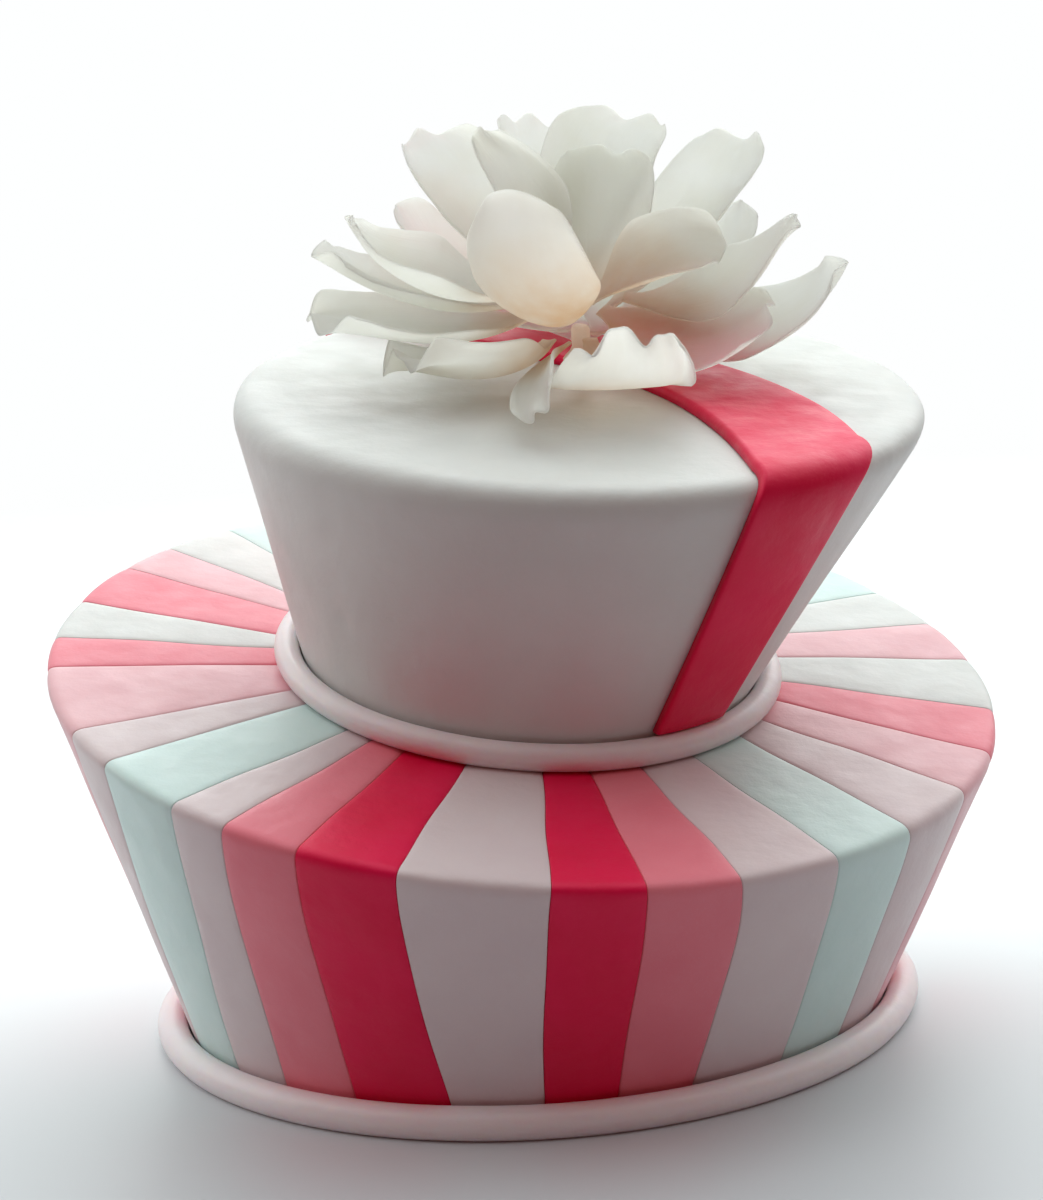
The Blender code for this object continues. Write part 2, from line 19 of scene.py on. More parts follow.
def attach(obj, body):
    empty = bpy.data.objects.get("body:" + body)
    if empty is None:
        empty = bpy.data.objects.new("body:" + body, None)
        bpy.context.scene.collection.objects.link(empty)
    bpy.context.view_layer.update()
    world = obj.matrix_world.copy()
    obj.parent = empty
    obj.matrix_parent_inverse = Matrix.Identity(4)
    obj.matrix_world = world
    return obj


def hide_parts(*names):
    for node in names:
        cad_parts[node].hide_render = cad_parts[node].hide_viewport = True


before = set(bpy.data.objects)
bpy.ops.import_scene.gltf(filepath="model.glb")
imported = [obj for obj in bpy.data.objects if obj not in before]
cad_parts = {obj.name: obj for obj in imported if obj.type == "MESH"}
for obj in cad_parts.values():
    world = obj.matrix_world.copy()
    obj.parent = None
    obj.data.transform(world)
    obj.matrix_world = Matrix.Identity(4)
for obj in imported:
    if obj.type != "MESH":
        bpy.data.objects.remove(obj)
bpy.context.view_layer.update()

logging.basicConfig(level=logging.INFO, format="%(name)s: %(message)s")
LOG = logging.getLogger("cake")

METRES_PER_MM = 0.001
BODY = "root"
FITTING_GAP = 0.3
Rgb = tuple[float, float, float]
Pair = tuple[float, float]


class Tint(Enum):
    """The colours of sugar paste, each by the name of its material slot."""

    WHITE = "white"
    MINT_WHITE = "mint_white"
    PALE_BLUSH = "pale_blush"
    LIGHT_PINK = "light_pink"
    SALMON = "salmon"
    HOT_PINK = "hot_pink"
    ROPE_PINK = "rope_pink"
    PETAL_WHITE = "petal_white"


class Face(Enum):
    """The two faces of a tier that a strip lies on."""

    TOP = "top"
    WALL = "wall"


def unit(vectors: np.ndarray) -> np.ndarray:
    """Return vectors scaled to a length of one."""
    vectors = np.asarray(vectors, dtype=float)
    return vectors / np.linalg.norm(vectors, axis=-1, keepdims=True)


def ease(share: np.ndarray) -> np.ndarray:
    """Return shares of 0 to 1 with a soft start and a soft end."""
    share = np.clip(share, 0.0, 1.0)
    return share * share * (3.0 - 2.0 * share)


def plane_normal(slope: Pair) -> np.ndarray:
    """Return the upward normal of a plane that rises by slope along X and Y."""
    return unit((-slope[0], -slope[1], 1.0))


def hand_waves(points: np.ndarray, seed: int, shortest: float, longest: float) -> np.ndarray:
    """Return the soft unevenness that rolling and smoothing by hand leaves, from -1 to 1.

    Args:
        points: Places in millimetres, in an array that ends in three columns.
        seed: Which set of waves is drawn.
        shortest: The shortest wave, in millimetres.
        longest: The longest wave, in millimetres.

    Returns:
        One height for each place.
    """
    draw = np.random.default_rng(seed)
    height = np.zeros(points.shape[:-1])
    count = 7
    for _ in range(count):
        heading = unit(draw.normal(size=3))
        length = draw.uniform(shortest, longest)
        phase = draw.uniform(0.0, 2.0 * math.pi)
        height = height + np.sin(2.0 * math.pi * (points @ heading) / length + phase)
    return height / math.sqrt(2.0 * count)


def edge_fall(distance: np.ndarray, radius: float) -> np.ndarray:
    """Return how far a face falls near its cut edge, as a quarter round of that radius."""
    short = np.clip(radius - distance, 0.0, radius)
    return radius - np.sqrt(radius**2 - short**2)


def spaced_shares(width: float, radius: float, middle: int) -> np.ndarray:
    """Return shares across a width, close together where the edges are rounded.

    Args:
        width: The width in millimetres.
        radius: The rounding of each edge in millimetres.
        middle: The number of steps between the two rounded edges.

    Returns:
        Shares from 0 to 1.
    """
    near = radius * (1.0 - np.cos(np.linspace(0.0, math.pi / 2.0, 5))) / width
    centre = np.linspace(near[-1], 1.0 - near[-1], middle + 1)[1:-1]
    return np.concatenate([near, centre, 1.0 - near[::-1]])


def soft_corner(
    start: np.ndarray, corner: np.ndarray, end: np.ndarray, t: np.ndarray
) -> np.ndarray:
    """Return the places at t on a bend from start to end that is pulled towards corner."""
    return (1.0 - t) ** 2 * start + 2.0 * t * (1.0 - t) * corner + t * t * end


@dataclass(frozen=True)
class NodeBench:
    """The nodes of one material, with short ways to add and join them."""

    material: bpy.types.Material

    @classmethod
    def start(cls, name: str) -> "NodeBench":
        """Return a bench with a new material of that name."""
        material = bpy.data.materials.new(name)
        material.use_nodes = True
        return cls(material)

    @property
    def shader(self) -> bpy.types.Node:
        """Return the material's surface shader."""
        return self.material.node_tree.nodes["Principled BSDF"]

    def settle(self, values: dict[str, float | Rgb]) -> None:
        """Set numbers and colours that are the same all over on the surface shader.

        Args:
            values: The number or colour for each socket, by the socket's name.
        """
        for name, value in values.items():
            colour = name == "Specular Tint"
            self.shader.inputs[name].default_value = (*value, 1.0) if colour else value

    def show(self, output: bpy.types.NodeSocket) -> None:
        """Make that shader the surface of the material."""
        self.join(output, self.material.node_tree.nodes["Material Output"].inputs["Surface"])

    def add(self, kind: str) -> bpy.types.Node:
        """Return a new node of that kind."""
        return self.material.node_tree.nodes.new(kind)

    def join(self, output: bpy.types.NodeSocket, target: bpy.types.NodeSocket) -> None:
        """Join an output to an input."""
        self.material.node_tree.links.new(output, target)

    def place(self, stretch: Rgb = (1.0, 1.0, 1.0), kind: str = "Object") -> bpy.types.NodeSocket:
        """Return places on the piece, stretched by an amount along each axis.

        Args:
            stretch: The factor for each axis.
            kind: Which coordinates are read, "Object" or "UV".

        Returns:
            The output that carries the places.
        """
        source = self.add("ShaderNodeTexCoord")
        mapping = self.add("ShaderNodeMapping")
        mapping.inputs["Scale"].default_value = stretch
        self.join(source.outputs[kind], mapping.inputs["Vector"])
        return mapping.outputs["Vector"]

    def noise(
        self, where: bpy.types.NodeSocket, scale: float, detail: float = 3.0
    ) -> bpy.types.NodeSocket:
        """Return cloudy noise with that many patches to the metre, or to the unit of where."""
        node = self.add("ShaderNodeTexNoise")
        node.inputs["Scale"].default_value = scale
        node.inputs["Detail"].default_value = detail
        node.inputs["Roughness"].default_value = 0.55
        self.join(where, node.inputs["Vector"])
        return node.outputs["Fac"]

    def spread(
        self, value: bpy.types.NodeSocket, source: Pair, target: Pair
    ) -> bpy.types.NodeSocket:
        """Return value moved from one range to another, and kept inside it."""
        node = self.add("ShaderNodeMapRange")
        for socket, number in zip(
            ("From Min", "From Max", "To Min", "To Max"), (*source, *target)
        ):
            node.inputs[socket].default_value = number
        self.join(value, node.inputs["Value"])
        return node.outputs["Result"]

    def times(
        self, first: bpy.types.NodeSocket, second: bpy.types.NodeSocket
    ) -> bpy.types.NodeSocket:
        """Return the product of two values."""
        node = self.add("ShaderNodeMath")
        node.operation = "MULTIPLY"
        self.join(first, node.inputs[0])
        self.join(second, node.inputs[1])
        return node.outputs[0]

    def blend(
        self, share: bpy.types.NodeSocket, first: object, second: object
    ) -> bpy.types.NodeSocket:
        """Return a mix of two colours, each a socket or an Rgb.

        Args:
            share: How much of the second colour shows.
            first: The colour at a share of 0.
            second: The colour at a share of 1.

        Returns:
            The output that carries the mixed colour.
        """
        node = self.add("ShaderNodeMix")
        node.data_type = "RGBA"
        self.join(share, node.inputs[0])
        for socket, colour in ((node.inputs[6], first), (node.inputs[7], second)):
            if isinstance(colour, tuple):
                socket.default_value = (*colour, 1.0)
            else:
                self.join(colour, socket)
        return node.outputs[2]

    def relief(
        self,
        height: bpy.types.NodeSocket,
        depth: float,
        below: bpy.types.NodeSocket | None = None,
    ) -> bpy.types.NodeSocket:
        """Return normals for a fine relief of a depth in metres, over another where given."""
        node = self.add("ShaderNodeBump")
        node.inputs["Strength"].default_value = 1.0
        node.inputs["Distance"].default_value = depth
        self.join(height, node.inputs["Height"])
        if below is not None:
            self.join(below, node.inputs["Normal"])
        return node.outputs["Normal"]


@dataclass(frozen=True)
class FondantFinish:
    """Rolled sugar paste: a satin skin, faint clouds of pigment and a trace of dusting."""

    tint: Tint
    colour: Rgb
    deep: Rgb
    clouds: float = 1.0
    dusting: float = 0.06
    dust: Rgb = (0.90, 0.88, 0.86)
    roughness: Pair = (0.40, 0.56)
    gloss: float = 0.42
    gloss_tint: Rgb = (1.0, 1.0, 1.0)
    sheen: float = 0.08
    glow: float = 0.10

    def material(self) -> bpy.types.Material:
        """Make the material.

        Returns:
            The finished material.
        """
        bench = NodeBench.start(f"{self.tint.value}_fondant")
        where = bench.place()
        patches = bench.spread(bench.noise(where, 26.0, 4.0), (0.35, 0.68), (0.0, self.clouds))
        tone = bench.blend(patches, self.colour, self.deep)
        grains = bench.spread(bench.noise(where, 1400.0, 2.0), (0.52, 0.72), (0.0, self.dusting))
        drift = bench.spread(bench.noise(where, 40.0, 2.0), (0.35, 0.7), (0.35, 1.0))
        tone = bench.blend(bench.times(grains, drift), tone, self.dust)
        shader = bench.shader
        bench.join(tone, shader.inputs["Base Color"])
        worn = bench.spread(bench.noise(where, 90.0, 3.0), (0.3, 0.7), self.roughness)
        bench.join(worn, shader.inputs["Roughness"])
        skin = bench.relief(bench.noise(where, 700.0, 3.0), 0.00008)
        pressed = bench.relief(bench.noise(where, 70.0, 2.0), 0.0006, skin)
        bench.join(pressed, shader.inputs["Normal"])
        bench.settle(
            {
                "Specular IOR Level": self.gloss,
                "Specular Tint": self.gloss_tint,
                "Sheen Weight": self.sheen,
                "Sheen Roughness": 0.5,
                "Subsurface Weight": self.glow,
                "Subsurface Radius": (1.0, 0.6, 0.45),
                "Subsurface Scale": 0.003,
            }
        )
        return bench.material


@dataclass(frozen=True)
class PetalFinish:
    """Thin sugar paste that lets light through, dusted with peach near the flower's middle, with
    painted shade that deepens the peach there.
    """

    colour: Rgb = (0.96, 0.965, 0.945)
    deep: Rgb = (0.94, 0.94, 0.90)
    # The peach colour is petal dust, partly painted shade: it is darkest at the flower's hollow
    # middle.
    peach_dust_and_shade: Rgb = (0.84, 0.66, 0.49)
    dust_and_shade_middle: Rgb = (0.029, -0.004, 0.216)
    dust_and_shade_reach: Pair = (0.012, 0.044)
    shine_through: float = 0.80
    roughness: Pair = (0.42, 0.6)

    def material(self) -> bpy.types.Material:
        """Make the material, whose blush fades away from the flower's middle.

        Returns:
            The finished material.
        """
        bench = NodeBench.start("petal_paste")
        where = bench.place()
        apart = bench.add("ShaderNodeVectorMath")
        apart.operation = "DISTANCE"
        apart.inputs[1].default_value = self.dust_and_shade_middle
        bench.join(where, apart.inputs[0])
        patches = bench.spread(bench.noise(where, 45.0, 4.0), (0.35, 0.7), (0.0, 1.0))
        tone = bench.blend(patches, self.colour, self.deep)
        # Peach dust and painted shade: the colour turns peach and darker towards the flower's
        # middle, where its hollow lies in shade.
        base = bench.spread(apart.outputs["Value"], self.dust_and_shade_reach, (1.0, 0.0))
        cloud = bench.spread(bench.noise(where, 120.0, 3.0), (0.3, 0.7), (0.55, 1.0))
        tone = bench.blend(bench.times(base, cloud), tone, self.peach_dust_and_shade)
        shader = bench.shader
        bench.join(tone, shader.inputs["Base Color"])
        worn = bench.spread(bench.noise(where, 150.0, 3.0), (0.3, 0.7), self.roughness)
        bench.join(worn, shader.inputs["Roughness"])
        veins = bench.relief(bench.noise(bench.place((34.0, 2.2, 1.0), "UV"), 1.0, 3.0), 0.0004)
        skin = bench.relief(bench.noise(where, 900.0, 3.0), 0.00006, veins)
        bench.join(skin, shader.inputs["Normal"])
        bench.settle(
            {
                "Specular IOR Level": 0.35,
                "Sheen Weight": 0.12,
                "Sheen Roughness": 0.5,
                "Subsurface Weight": 0.5,
                "Subsurface Radius": (1.0, 0.85, 0.7),
                "Subsurface Scale": 0.006,
            }
        )
        through, mix = bench.add("ShaderNodeBsdfTranslucent"), bench.add("ShaderNodeMixShader")
        bench.join(tone, through.inputs["Color"])
        mix.inputs[0].default_value = self.shine_through
        bench.join(shader.outputs["BSDF"], mix.inputs[1])
        bench.join(through.outputs["BSDF"], mix.inputs[2])
        bench.show(mix.outputs["Shader"])
        return bench.material


@dataclass
class Pantry:
    """All finishes, made once and handed out by tint."""

    pastes: tuple[FondantFinish, ...] = (
        FondantFinish(Tint.WHITE, (0.73, 0.745, 0.725), (0.69, 0.705, 0.685)),
        FondantFinish(Tint.MINT_WHITE, (0.70, 0.88, 0.85), (0.65, 0.84, 0.81)),
        FondantFinish(Tint.PALE_BLUSH, (0.77, 0.65, 0.66), (0.73, 0.60, 0.62)),
        FondantFinish(Tint.LIGHT_PINK, (0.88, 0.50, 0.54), (0.84, 0.44, 0.49)),
        FondantFinish(
            Tint.SALMON, (0.90, 0.24, 0.30), (0.86, 0.19, 0.25), dusting=0.04,
            gloss=0.5, gloss_tint=(1.0, 0.6, 0.68),
        ),
        FondantFinish(
            Tint.HOT_PINK, (0.86, 0.004, 0.075), (0.78, 0.001, 0.05), dusting=0.01,
            gloss=0.85, gloss_tint=(1.0, 0.25, 0.38), sheen=0.0,
        ),
        FondantFinish(
            Tint.ROPE_PINK, (0.97, 0.87, 0.89), (0.95, 0.84, 0.86), roughness=(0.32, 0.46),
            gloss=0.6, glow=0.5,
        ),
    )
    petals: PetalFinish = PetalFinish()
    made: dict[Tint, bpy.types.Material] = field(default_factory=dict)

    def stock(self) -> None:
        """Make every material."""
        for paste in self.pastes:
            self.made[paste.tint] = paste.material()
        self.made[Tint.PETAL_WHITE] = self.petals.material()

    def finish_piece(self, piece: bpy.types.Object, tint: Tint, node: str) -> None:
        """Dress a piece, set it on the body and let it stand for its solid.

        Args:
            piece: The mesh object.
            tint: Its colour of paste.
            node: The name of the solid that it stands for.
        """
        piece.data.materials.append(self.made[tint])
        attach(piece, BODY)
        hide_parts(node)
        LOG.info("%s: %d faces of %s", piece.name, len(piece.data.polygons), tint.value)


@dataclass
class MeshWork:
    """Turns grids and rings of points in millimetres into closed meshes."""

    name: str

    def make(self, points: np.ndarray, faces: list[list[int]]) -> bpy.types.Object:
        """Return a smooth mesh object of those points and faces."""
        mesh = bpy.data.meshes.new(self.name)
        mesh.from_pydata((points * METRES_PER_MM).tolist(), [], faces)
        mesh.update()
        mesh.polygons.foreach_set("use_smooth", np.ones(len(mesh.polygons), dtype=bool))
        piece = bpy.data.objects.new(self.name, mesh)
        bpy.context.scene.collection.objects.link(piece)
        return piece

    def sheet(self, front: np.ndarray, back: np.ndarray) -> bpy.types.Object:
        """Join two facing grids into one closed sheet.

        Args:
            front: Points by row and column, rows running up and columns to the right.
            back: The points behind them, in the same order.

        Returns:
            The mesh object, with across and along as its UV coordinates.
        """
        rows, columns = front.shape[:2]
        index = np.arange(rows * columns).reshape(rows, columns)
        a, b = index[:-1, :-1].ravel(), index[:-1, 1:].ravel()
        c, d = index[1:, 1:].ravel(), index[1:, :-1].ravel()
        under = rows * columns
        border = np.concatenate(
            [index[0, :-1], index[:-1, -1], index[-1, :0:-1], index[:0:-1, 0]]
        )
        beside = np.roll(border, -1)
        faces = np.concatenate(
            [
                np.stack([a, b, c, d], axis=1),
                np.stack([a, d, c, b], axis=1) + under,
                np.stack([border, border + under, beside + under, beside], axis=1),
            ]
        )
        points = np.concatenate([front.reshape(-1, 3), back.reshape(-1, 3)])
        piece = self.make(points, faces.tolist())
        across = np.tile(np.linspace(0.0, 1.0, columns), rows)
        along = np.repeat(np.linspace(0.0, 1.0, rows), columns)
        flat = np.tile(np.stack([across, along], axis=1), (2, 1))
        layer = piece.data.uv_layers.new(name="lie")
        corners = np.zeros(len(piece.data.loops), dtype=np.int32)
        piece.data.loops.foreach_get("vertex_index", corners)
        layer.data.foreach_set("uv", flat[corners].astype(np.float32).ravel())
        return piece

    def loft(self, rings: np.ndarray, closed: bool) -> bpy.types.Object:
        """Skin a stack of rings.

        Args:
            rings: Points by ring and side.
            closed: Whether the last ring joins the first; otherwise both ends get a cap.

        Returns:
            The mesh object.
        """
        count, sides = rings.shape[:2]
        index = np.arange(count * sides).reshape(count, sides)
        above = np.roll(index, -1, axis=0) if closed else index[1:]
        lower = index if closed else index[:-1]
        faces = np.stack(
            [lower, np.roll(lower, -1, axis=1), np.roll(above, -1, axis=1), above], axis=-1
        )
        points = rings.reshape(-1, 3)
        skin = faces.reshape(-1, 4).tolist()
        if not closed:
            for ring, turned in ((0, True), (count - 1, False)):
                middle = len(points)
                points = np.concatenate([points, rings[ring].mean(axis=0)[None]])
                edge = index[ring]
                beside = np.roll(edge, -1)
                pairs = zip(beside, edge) if turned else zip(edge, beside)
                skin += [[int(p), int(q), middle] for p, q in pairs]
        return self.make(points, skin)


@dataclass(frozen=True)
class TierShape:
    """A round tier that widens upwards from a level or sloping foot to a tilted rim."""

    rim_centre: Rgb
    slope: Pair
    rim_radius: float
    foot_centre: Rgb
    foot_slope: Pair
    foot_radius: float
    rounding: float

    def circle(self, upper: bool, direction: np.ndarray) -> np.ndarray:
        """Return points of the rim's or the foot's circle.

        Args:
            upper: Whether the rim is meant, and otherwise the foot.
            direction: Directions seen from above.

        Returns:
            One point for each direction.
        """
        centre = self.rim_centre if upper else self.foot_centre
        slope = self.slope if upper else self.foot_slope
        radius = self.rim_radius if upper else self.foot_radius
        turn = np.radians(np.asarray(direction, dtype=float))
        across, away = np.cos(turn), np.sin(turn)
        spoke = unit(np.stack([across, away, slope[0] * across + slope[1] * away], axis=-1))
        return np.asarray(centre) + radius * spoke

    def wall_normal(self, direction: np.ndarray) -> np.ndarray:
        """Return the outward normals of the wall."""
        direction = np.asarray(direction, dtype=float)
        along = self.circle(True, direction + 0.5) - self.circle(True, direction - 0.5)
        down = self.circle(False, direction) - self.circle(True, direction)
        return unit(np.cross(down, along))

    def rim(self, direction: np.ndarray, inset: float) -> np.ndarray:
        """Return the sharp corner of the rim, moved inwards by inset from top and wall alike."""
        top = plane_normal(self.slope)
        wall = self.wall_normal(direction)
        lean = np.sum(top * wall, axis=-1, keepdims=True)
        return self.circle(True, direction) - inset * (top + wall) / (1.0 + lean)

    def foot(self, direction: np.ndarray, inset: float) -> np.ndarray:
        """Return the foot of the wall, moved inwards so that the wall moves by inset."""
        wall = self.wall_normal(direction)
        foot = self.circle(False, direction)
        spoke = unit(foot - np.asarray(self.foot_centre))
        return foot - inset * spoke / np.sum(spoke * wall, axis=-1, keepdims=True)

    def wall(self, direction: np.ndarray, share: np.ndarray, inset: float) -> np.ndarray:
        """Return points of the wall at a share of the way from rim to foot."""
        rim = self.rim(direction, inset)
        return rim + (self.foot(direction, inset) - rim) * np.asarray(share)[..., None]

    def reach(self, inset: float) -> float:
        """Return how far the rounded edge reaches from the sharp corner."""
        return max(0.8, self.rounding - 1.43 * inset)


@dataclass(frozen=True)
class Tiers:
    """The two tiers and the plane that the upper one stands on."""

    lower: TierShape = TierShape(
        (2.5, 0.0, 112.0), (-0.118, 0.222), 150.0, (0.0, 0.0, 0.0), (0.0, 0.0), 110.0, 5.0
    )
    upper_foot: Pair = (2.2, -4.8)
    core_inset: float = 3.5

    def on_lower_top(self, x: np.ndarray, y: np.ndarray, height: float) -> np.ndarray:
        """Return the points above x and y that lie height over the lower tier's top face."""
        cx, cy, cz = self.lower.rim_centre
        level = cz + self.lower.slope[0] * (x - cx) + self.lower.slope[1] * (y - cy)
        lift = height / plane_normal(self.lower.slope)[2]
        return np.stack(np.broadcast_arrays(x, y, level + lift), axis=-1)

    @property
    def upper(self) -> TierShape:
        """Return the upper tier, which stands on the lower one's cake."""
        foot = self.on_lower_top(*self.upper_foot, FITTING_GAP - self.core_inset)
        return TierShape(
            (25.2, 0.0, 198.0), (-0.066, 0.194), 110.0, tuple(foot), self.lower.slope, 67.6, 11.0
        )


@dataclass
class TierBody:
    """The iced body of one tier."""

    name: str
    node: str
    shape: TierShape
    inset: float
    tint: Tint
    sides: int = 300
    wall_rings: int = 46
    bend_rings: int = 18
    top_rings: int = 26
    unevenness: float = 0.25
    highest_wave: float = 0.25
    dimple: Rgb | None = None
    dimple_depth: float = 0.55
    dimple_reach: float = 2.6

    def build(self, pantry: Pantry) -> None:
        """Make the body from its foot up the wall, over the soft edge and across the top."""
        shape = self.shape
        directions = np.arange(self.sides) * 360.0 / self.sides
        rim, foot = shape.rim(directions, self.inset), shape.foot(directions, self.inset)
        reach = shape.reach(self.inset)
        centre = np.asarray(shape.rim_centre) - self.inset * plane_normal(shape.slope)
        inward = rim + reach * unit(centre - rim)
        down = rim + reach * unit(foot - rim)
        rings = [foot + (down - foot) * s for s in np.linspace(0.0, 1.0, self.wall_rings)]
        rings += [soft_corner(down, rim, inward, t) for t in np.linspace(0, 1, self.bend_rings)[1:]]
        shares = np.linspace(1.0, 0.02, self.top_rings)[1:]
        rings += [centre + (inward - centre) * s for s in shares]
        grid = np.array(rings)
        around = np.roll(grid, -1, axis=1) - np.roll(grid, 1, axis=1)
        normal = unit(np.cross(around, np.gradient(grid, axis=0)))
        height = self.unevenness * hand_waves(grid, 11, 35.0, 110.0)
        height[0] = 0.0
        if self.dimple is not None:
            apart = np.linalg.norm(grid - np.asarray(self.dimple), axis=-1)
            height = height - self.dimple_depth * np.exp(-((apart / self.dimple_reach) ** 2))
        grid = grid + normal * np.minimum(height, self.highest_wave)[..., None]
        piece = MeshWork(self.name).loft(grid, False)
        pantry.finish_piece(piece, self.tint, self.node)


@dataclass(frozen=True)
class StripCut:
    """One strip of the cladding, with its width at the rim, the foot and the inner end."""

    tint: Tint
    rim: float
    foot: float
    inner: float


@dataclass
class StripCladding:
    """Strips of paste laid side by side from the upper tier's foot over the rim and down."""

    tiers: Tiers
    thickness: float = 3.0
    inner_radius: float = 71.2
    foot_height: float = 1.5
    seam_gap: float = 0.08
    edge_round: float = 0.4
    crown: float = 0.30
    unevenness: float = 0.28
    first: Rgb = (271.7, 270.3, 269.1)
    top_steps: int = 26
    bend_steps: int = 9
    wall_steps: int = 30
    cuts: tuple[StripCut, ...] = (
        StripCut(Tint.HOT_PINK, 26.5, 20.0, 13.5),
        StripCut(Tint.SALMON, 28.0, 21.5, 15.5),
        StripCut(Tint.PALE_BLUSH, 33.0, 30.5, 18.0),
        StripCut(Tint.MINT_WHITE, 30.5, 26.5, 22.5),
        StripCut(Tint.PALE_BLUSH, 35.0, 24.5, 13.5),
        StripCut(Tint.LIGHT_PINK, 30.5, 24.5, 14.5),
        StripCut(Tint.SALMON, 34.0, 25.0, 13.5),
        StripCut(Tint.WHITE, 39.0, 27.0, 16.0),
        StripCut(Tint.LIGHT_PINK, 30.0, 21.0, 15.5),
        *(
            StripCut(tint, 30.0, 20.0, 13.5)
            for tint in (
                Tint.WHITE, Tint.MINT_WHITE, Tint.SALMON, Tint.LIGHT_PINK, Tint.HOT_PINK, Tint.WHITE,
                Tint.PALE_BLUSH, Tint.SALMON, Tint.LIGHT_PINK, Tint.MINT_WHITE, Tint.WHITE,
            )
        ),
        StripCut(Tint.LIGHT_PINK, 24.5, 15.5, 10.0),
        StripCut(Tint.SALMON, 33.5, 19.0, 17.5),
        StripCut(Tint.WHITE, 31.5, 20.0, 8.0),
        StripCut(Tint.SALMON, 23.5, 15.5, 12.0),
        StripCut(Tint.LIGHT_PINK, 46.5, 26.5, 17.0),
        StripCut(Tint.PALE_BLUSH, 22.5, 17.0, 10.0),
        StripCut(Tint.MINT_WHITE, 31.5, 31.5, 20.5),
        StripCut(Tint.PALE_BLUSH, 19.0, 23.0, 9.0),
        StripCut(Tint.SALMON, 23.5, 25.5, 10.5),
        StripCut(Tint.HOT_PINK, 29.0, 29.0, 18.5),
        StripCut(Tint.PALE_BLUSH, 42.0, 25.0, 21.5),
    )
    bows: dict[int, float] = field(
        default_factory=lambda: {
            0: -0.9, 1: 0.9, 2: 3.0, 3: 2.8, 4: 2.2, 28: -2.0, 29: -2.0, 30: -2.8,
        }
    )

    def seams(self) -> np.ndarray:
        """Return the direction of each seam at the inner end, the rim and the foot."""
        widths = np.array([[cut.inner, cut.rim, cut.foot] for cut in self.cuts])
        turned = np.vstack([np.zeros(3), np.cumsum(widths, axis=0)])
        return np.array(self.first) + 360.0 * turned / turned[-1]

    def wander(self, seam: int, face: Face, shares: np.ndarray) -> np.ndarray:
        """Return how far a hand-cut seam strays sideways from its line.

        Args:
            seam: The number of the seam, counted round the cake.
            face: The face that the places are on.
            shares: How far along that face each place is, from 0 to 1.

        Returns:
            The distances in millimetres, towards the next strip.
        """
        seam = seam % len(self.cuts)
        draw = np.random.default_rng(400 + seam)
        bow = self.bows.get(seam, draw.uniform(-1.4, 1.4))
        size, phase = draw.uniform(0.25, 0.55), draw.uniform(0.0, 2.0 * math.pi)
        fade = np.sin(math.pi * shares)
        if face is Face.WALL:
            sway = bow * 6.75 * shares * (1.0 - shares) ** 2
            return sway + size * fade * np.sin(7.0 * shares + phase)
        return size * fade * np.sin(6.0 * shares + phase + 1.0)

    def line(self, ends: np.ndarray, inset: float, number: int, across: float) -> np.ndarray:
        """Return one line across the cladding, from its inner end over the rim to its foot.

        Args:
            ends: The directions at the inner end, the rim and the foot.
            inset: How far the line lies under the outer face.
            number: Which strip the line is on.
            across: The place across the strip, from 0 to 1.

        Returns:
            The points of the line.
        """
        inner, rim, foot = ends
        tier = self.tiers.lower

        def strayed(face: Face, shares: np.ndarray) -> np.ndarray:
            """Return the sideways distances at this place across the strip."""
            low = self.wander(number, face, shares)
            high = self.wander(number + 1, face, shares)
            return low + (high - low) * across

        turn, rim_turn = math.radians(inner), math.radians(rim)
        x = self.tiers.upper_foot[0] + self.inner_radius * math.cos(turn)
        y = self.tiers.upper_foot[1] + self.inner_radius * math.sin(turn)
        start = self.tiers.on_lower_top(x, y, -inset)
        corner = tier.rim(rim, inset)
        reach = tier.reach(inset)
        bend_start = corner + reach * unit(start - corner)
        side = np.array([-math.sin(rim_turn), math.cos(rim_turn), 0.0])
        side[2] = tier.slope[0] * side[0] + tier.slope[1] * side[1]
        shares = np.linspace(0.0, 1.0, self.top_steps)[:, None]
        top = start + (bend_start - start) * shares + side * strayed(Face.TOP, shares)

        first = reach / np.linalg.norm(tier.foot(foot, inset) - corner)
        last = 1.0 - self.foot_height / corner[2]
        shares = np.linspace(first, last, self.wall_steps)
        stray = np.degrees(strayed(Face.WALL, shares) / (150.0 - 40.0 * shares))
        wall = tier.wall(rim + (foot - rim) * shares + stray, shares, inset)
        turns = np.linspace(0.0, 1.0, self.bend_steps)[1:-1, None]
        bend = soft_corner(bend_start, corner, wall[0], turns)
        return np.concatenate([top, bend, wall])

    def build(self, pantry: Pantry) -> None:
        """Lay all strips."""
        seams = self.seams()
        radii = np.array([self.inner_radius, 150.0, 110.0])
        gap = np.degrees(self.seam_gap / 2.0 / radii)
        for number, cut in enumerate(self.cuts):
            low, high = seams[number] + gap, seams[number + 1] - gap
            shares = spaced_shares(cut.rim, self.edge_round, max(8, round(cut.rim / 2.2)))
            outer, under = [], []
            for share in shares:
                at = low + (high - low) * share
                outer.append(self.line(at, 0.0, number, share))
                under.append(self.line(at, self.thickness, number, share))
            outer, under = np.array(outer), np.array(under)
            inward = unit(under - outer)
            spans = np.linalg.norm(outer[-1] - outer[0], axis=-1)
            apart = np.minimum(shares, 1.0 - shares)[:, None] * spans
            fall = edge_fall(apart, self.edge_round)
            rise = self.crown * (1.0 - (2.0 * shares - 1.0) ** 4)[:, None]
            rise = rise + self.unevenness * (hand_waves(outer, 5, 30.0, 90.0) - 1.0)
            outer = outer + inward * (fall - np.minimum(rise, 0.3))[..., None]
            piece = MeshWork(f"laid_strip_{number + 1:02d}").sheet(outer, under)
            pantry.finish_piece(piece, cut.tint, f"strip_{number + 1:02d}")


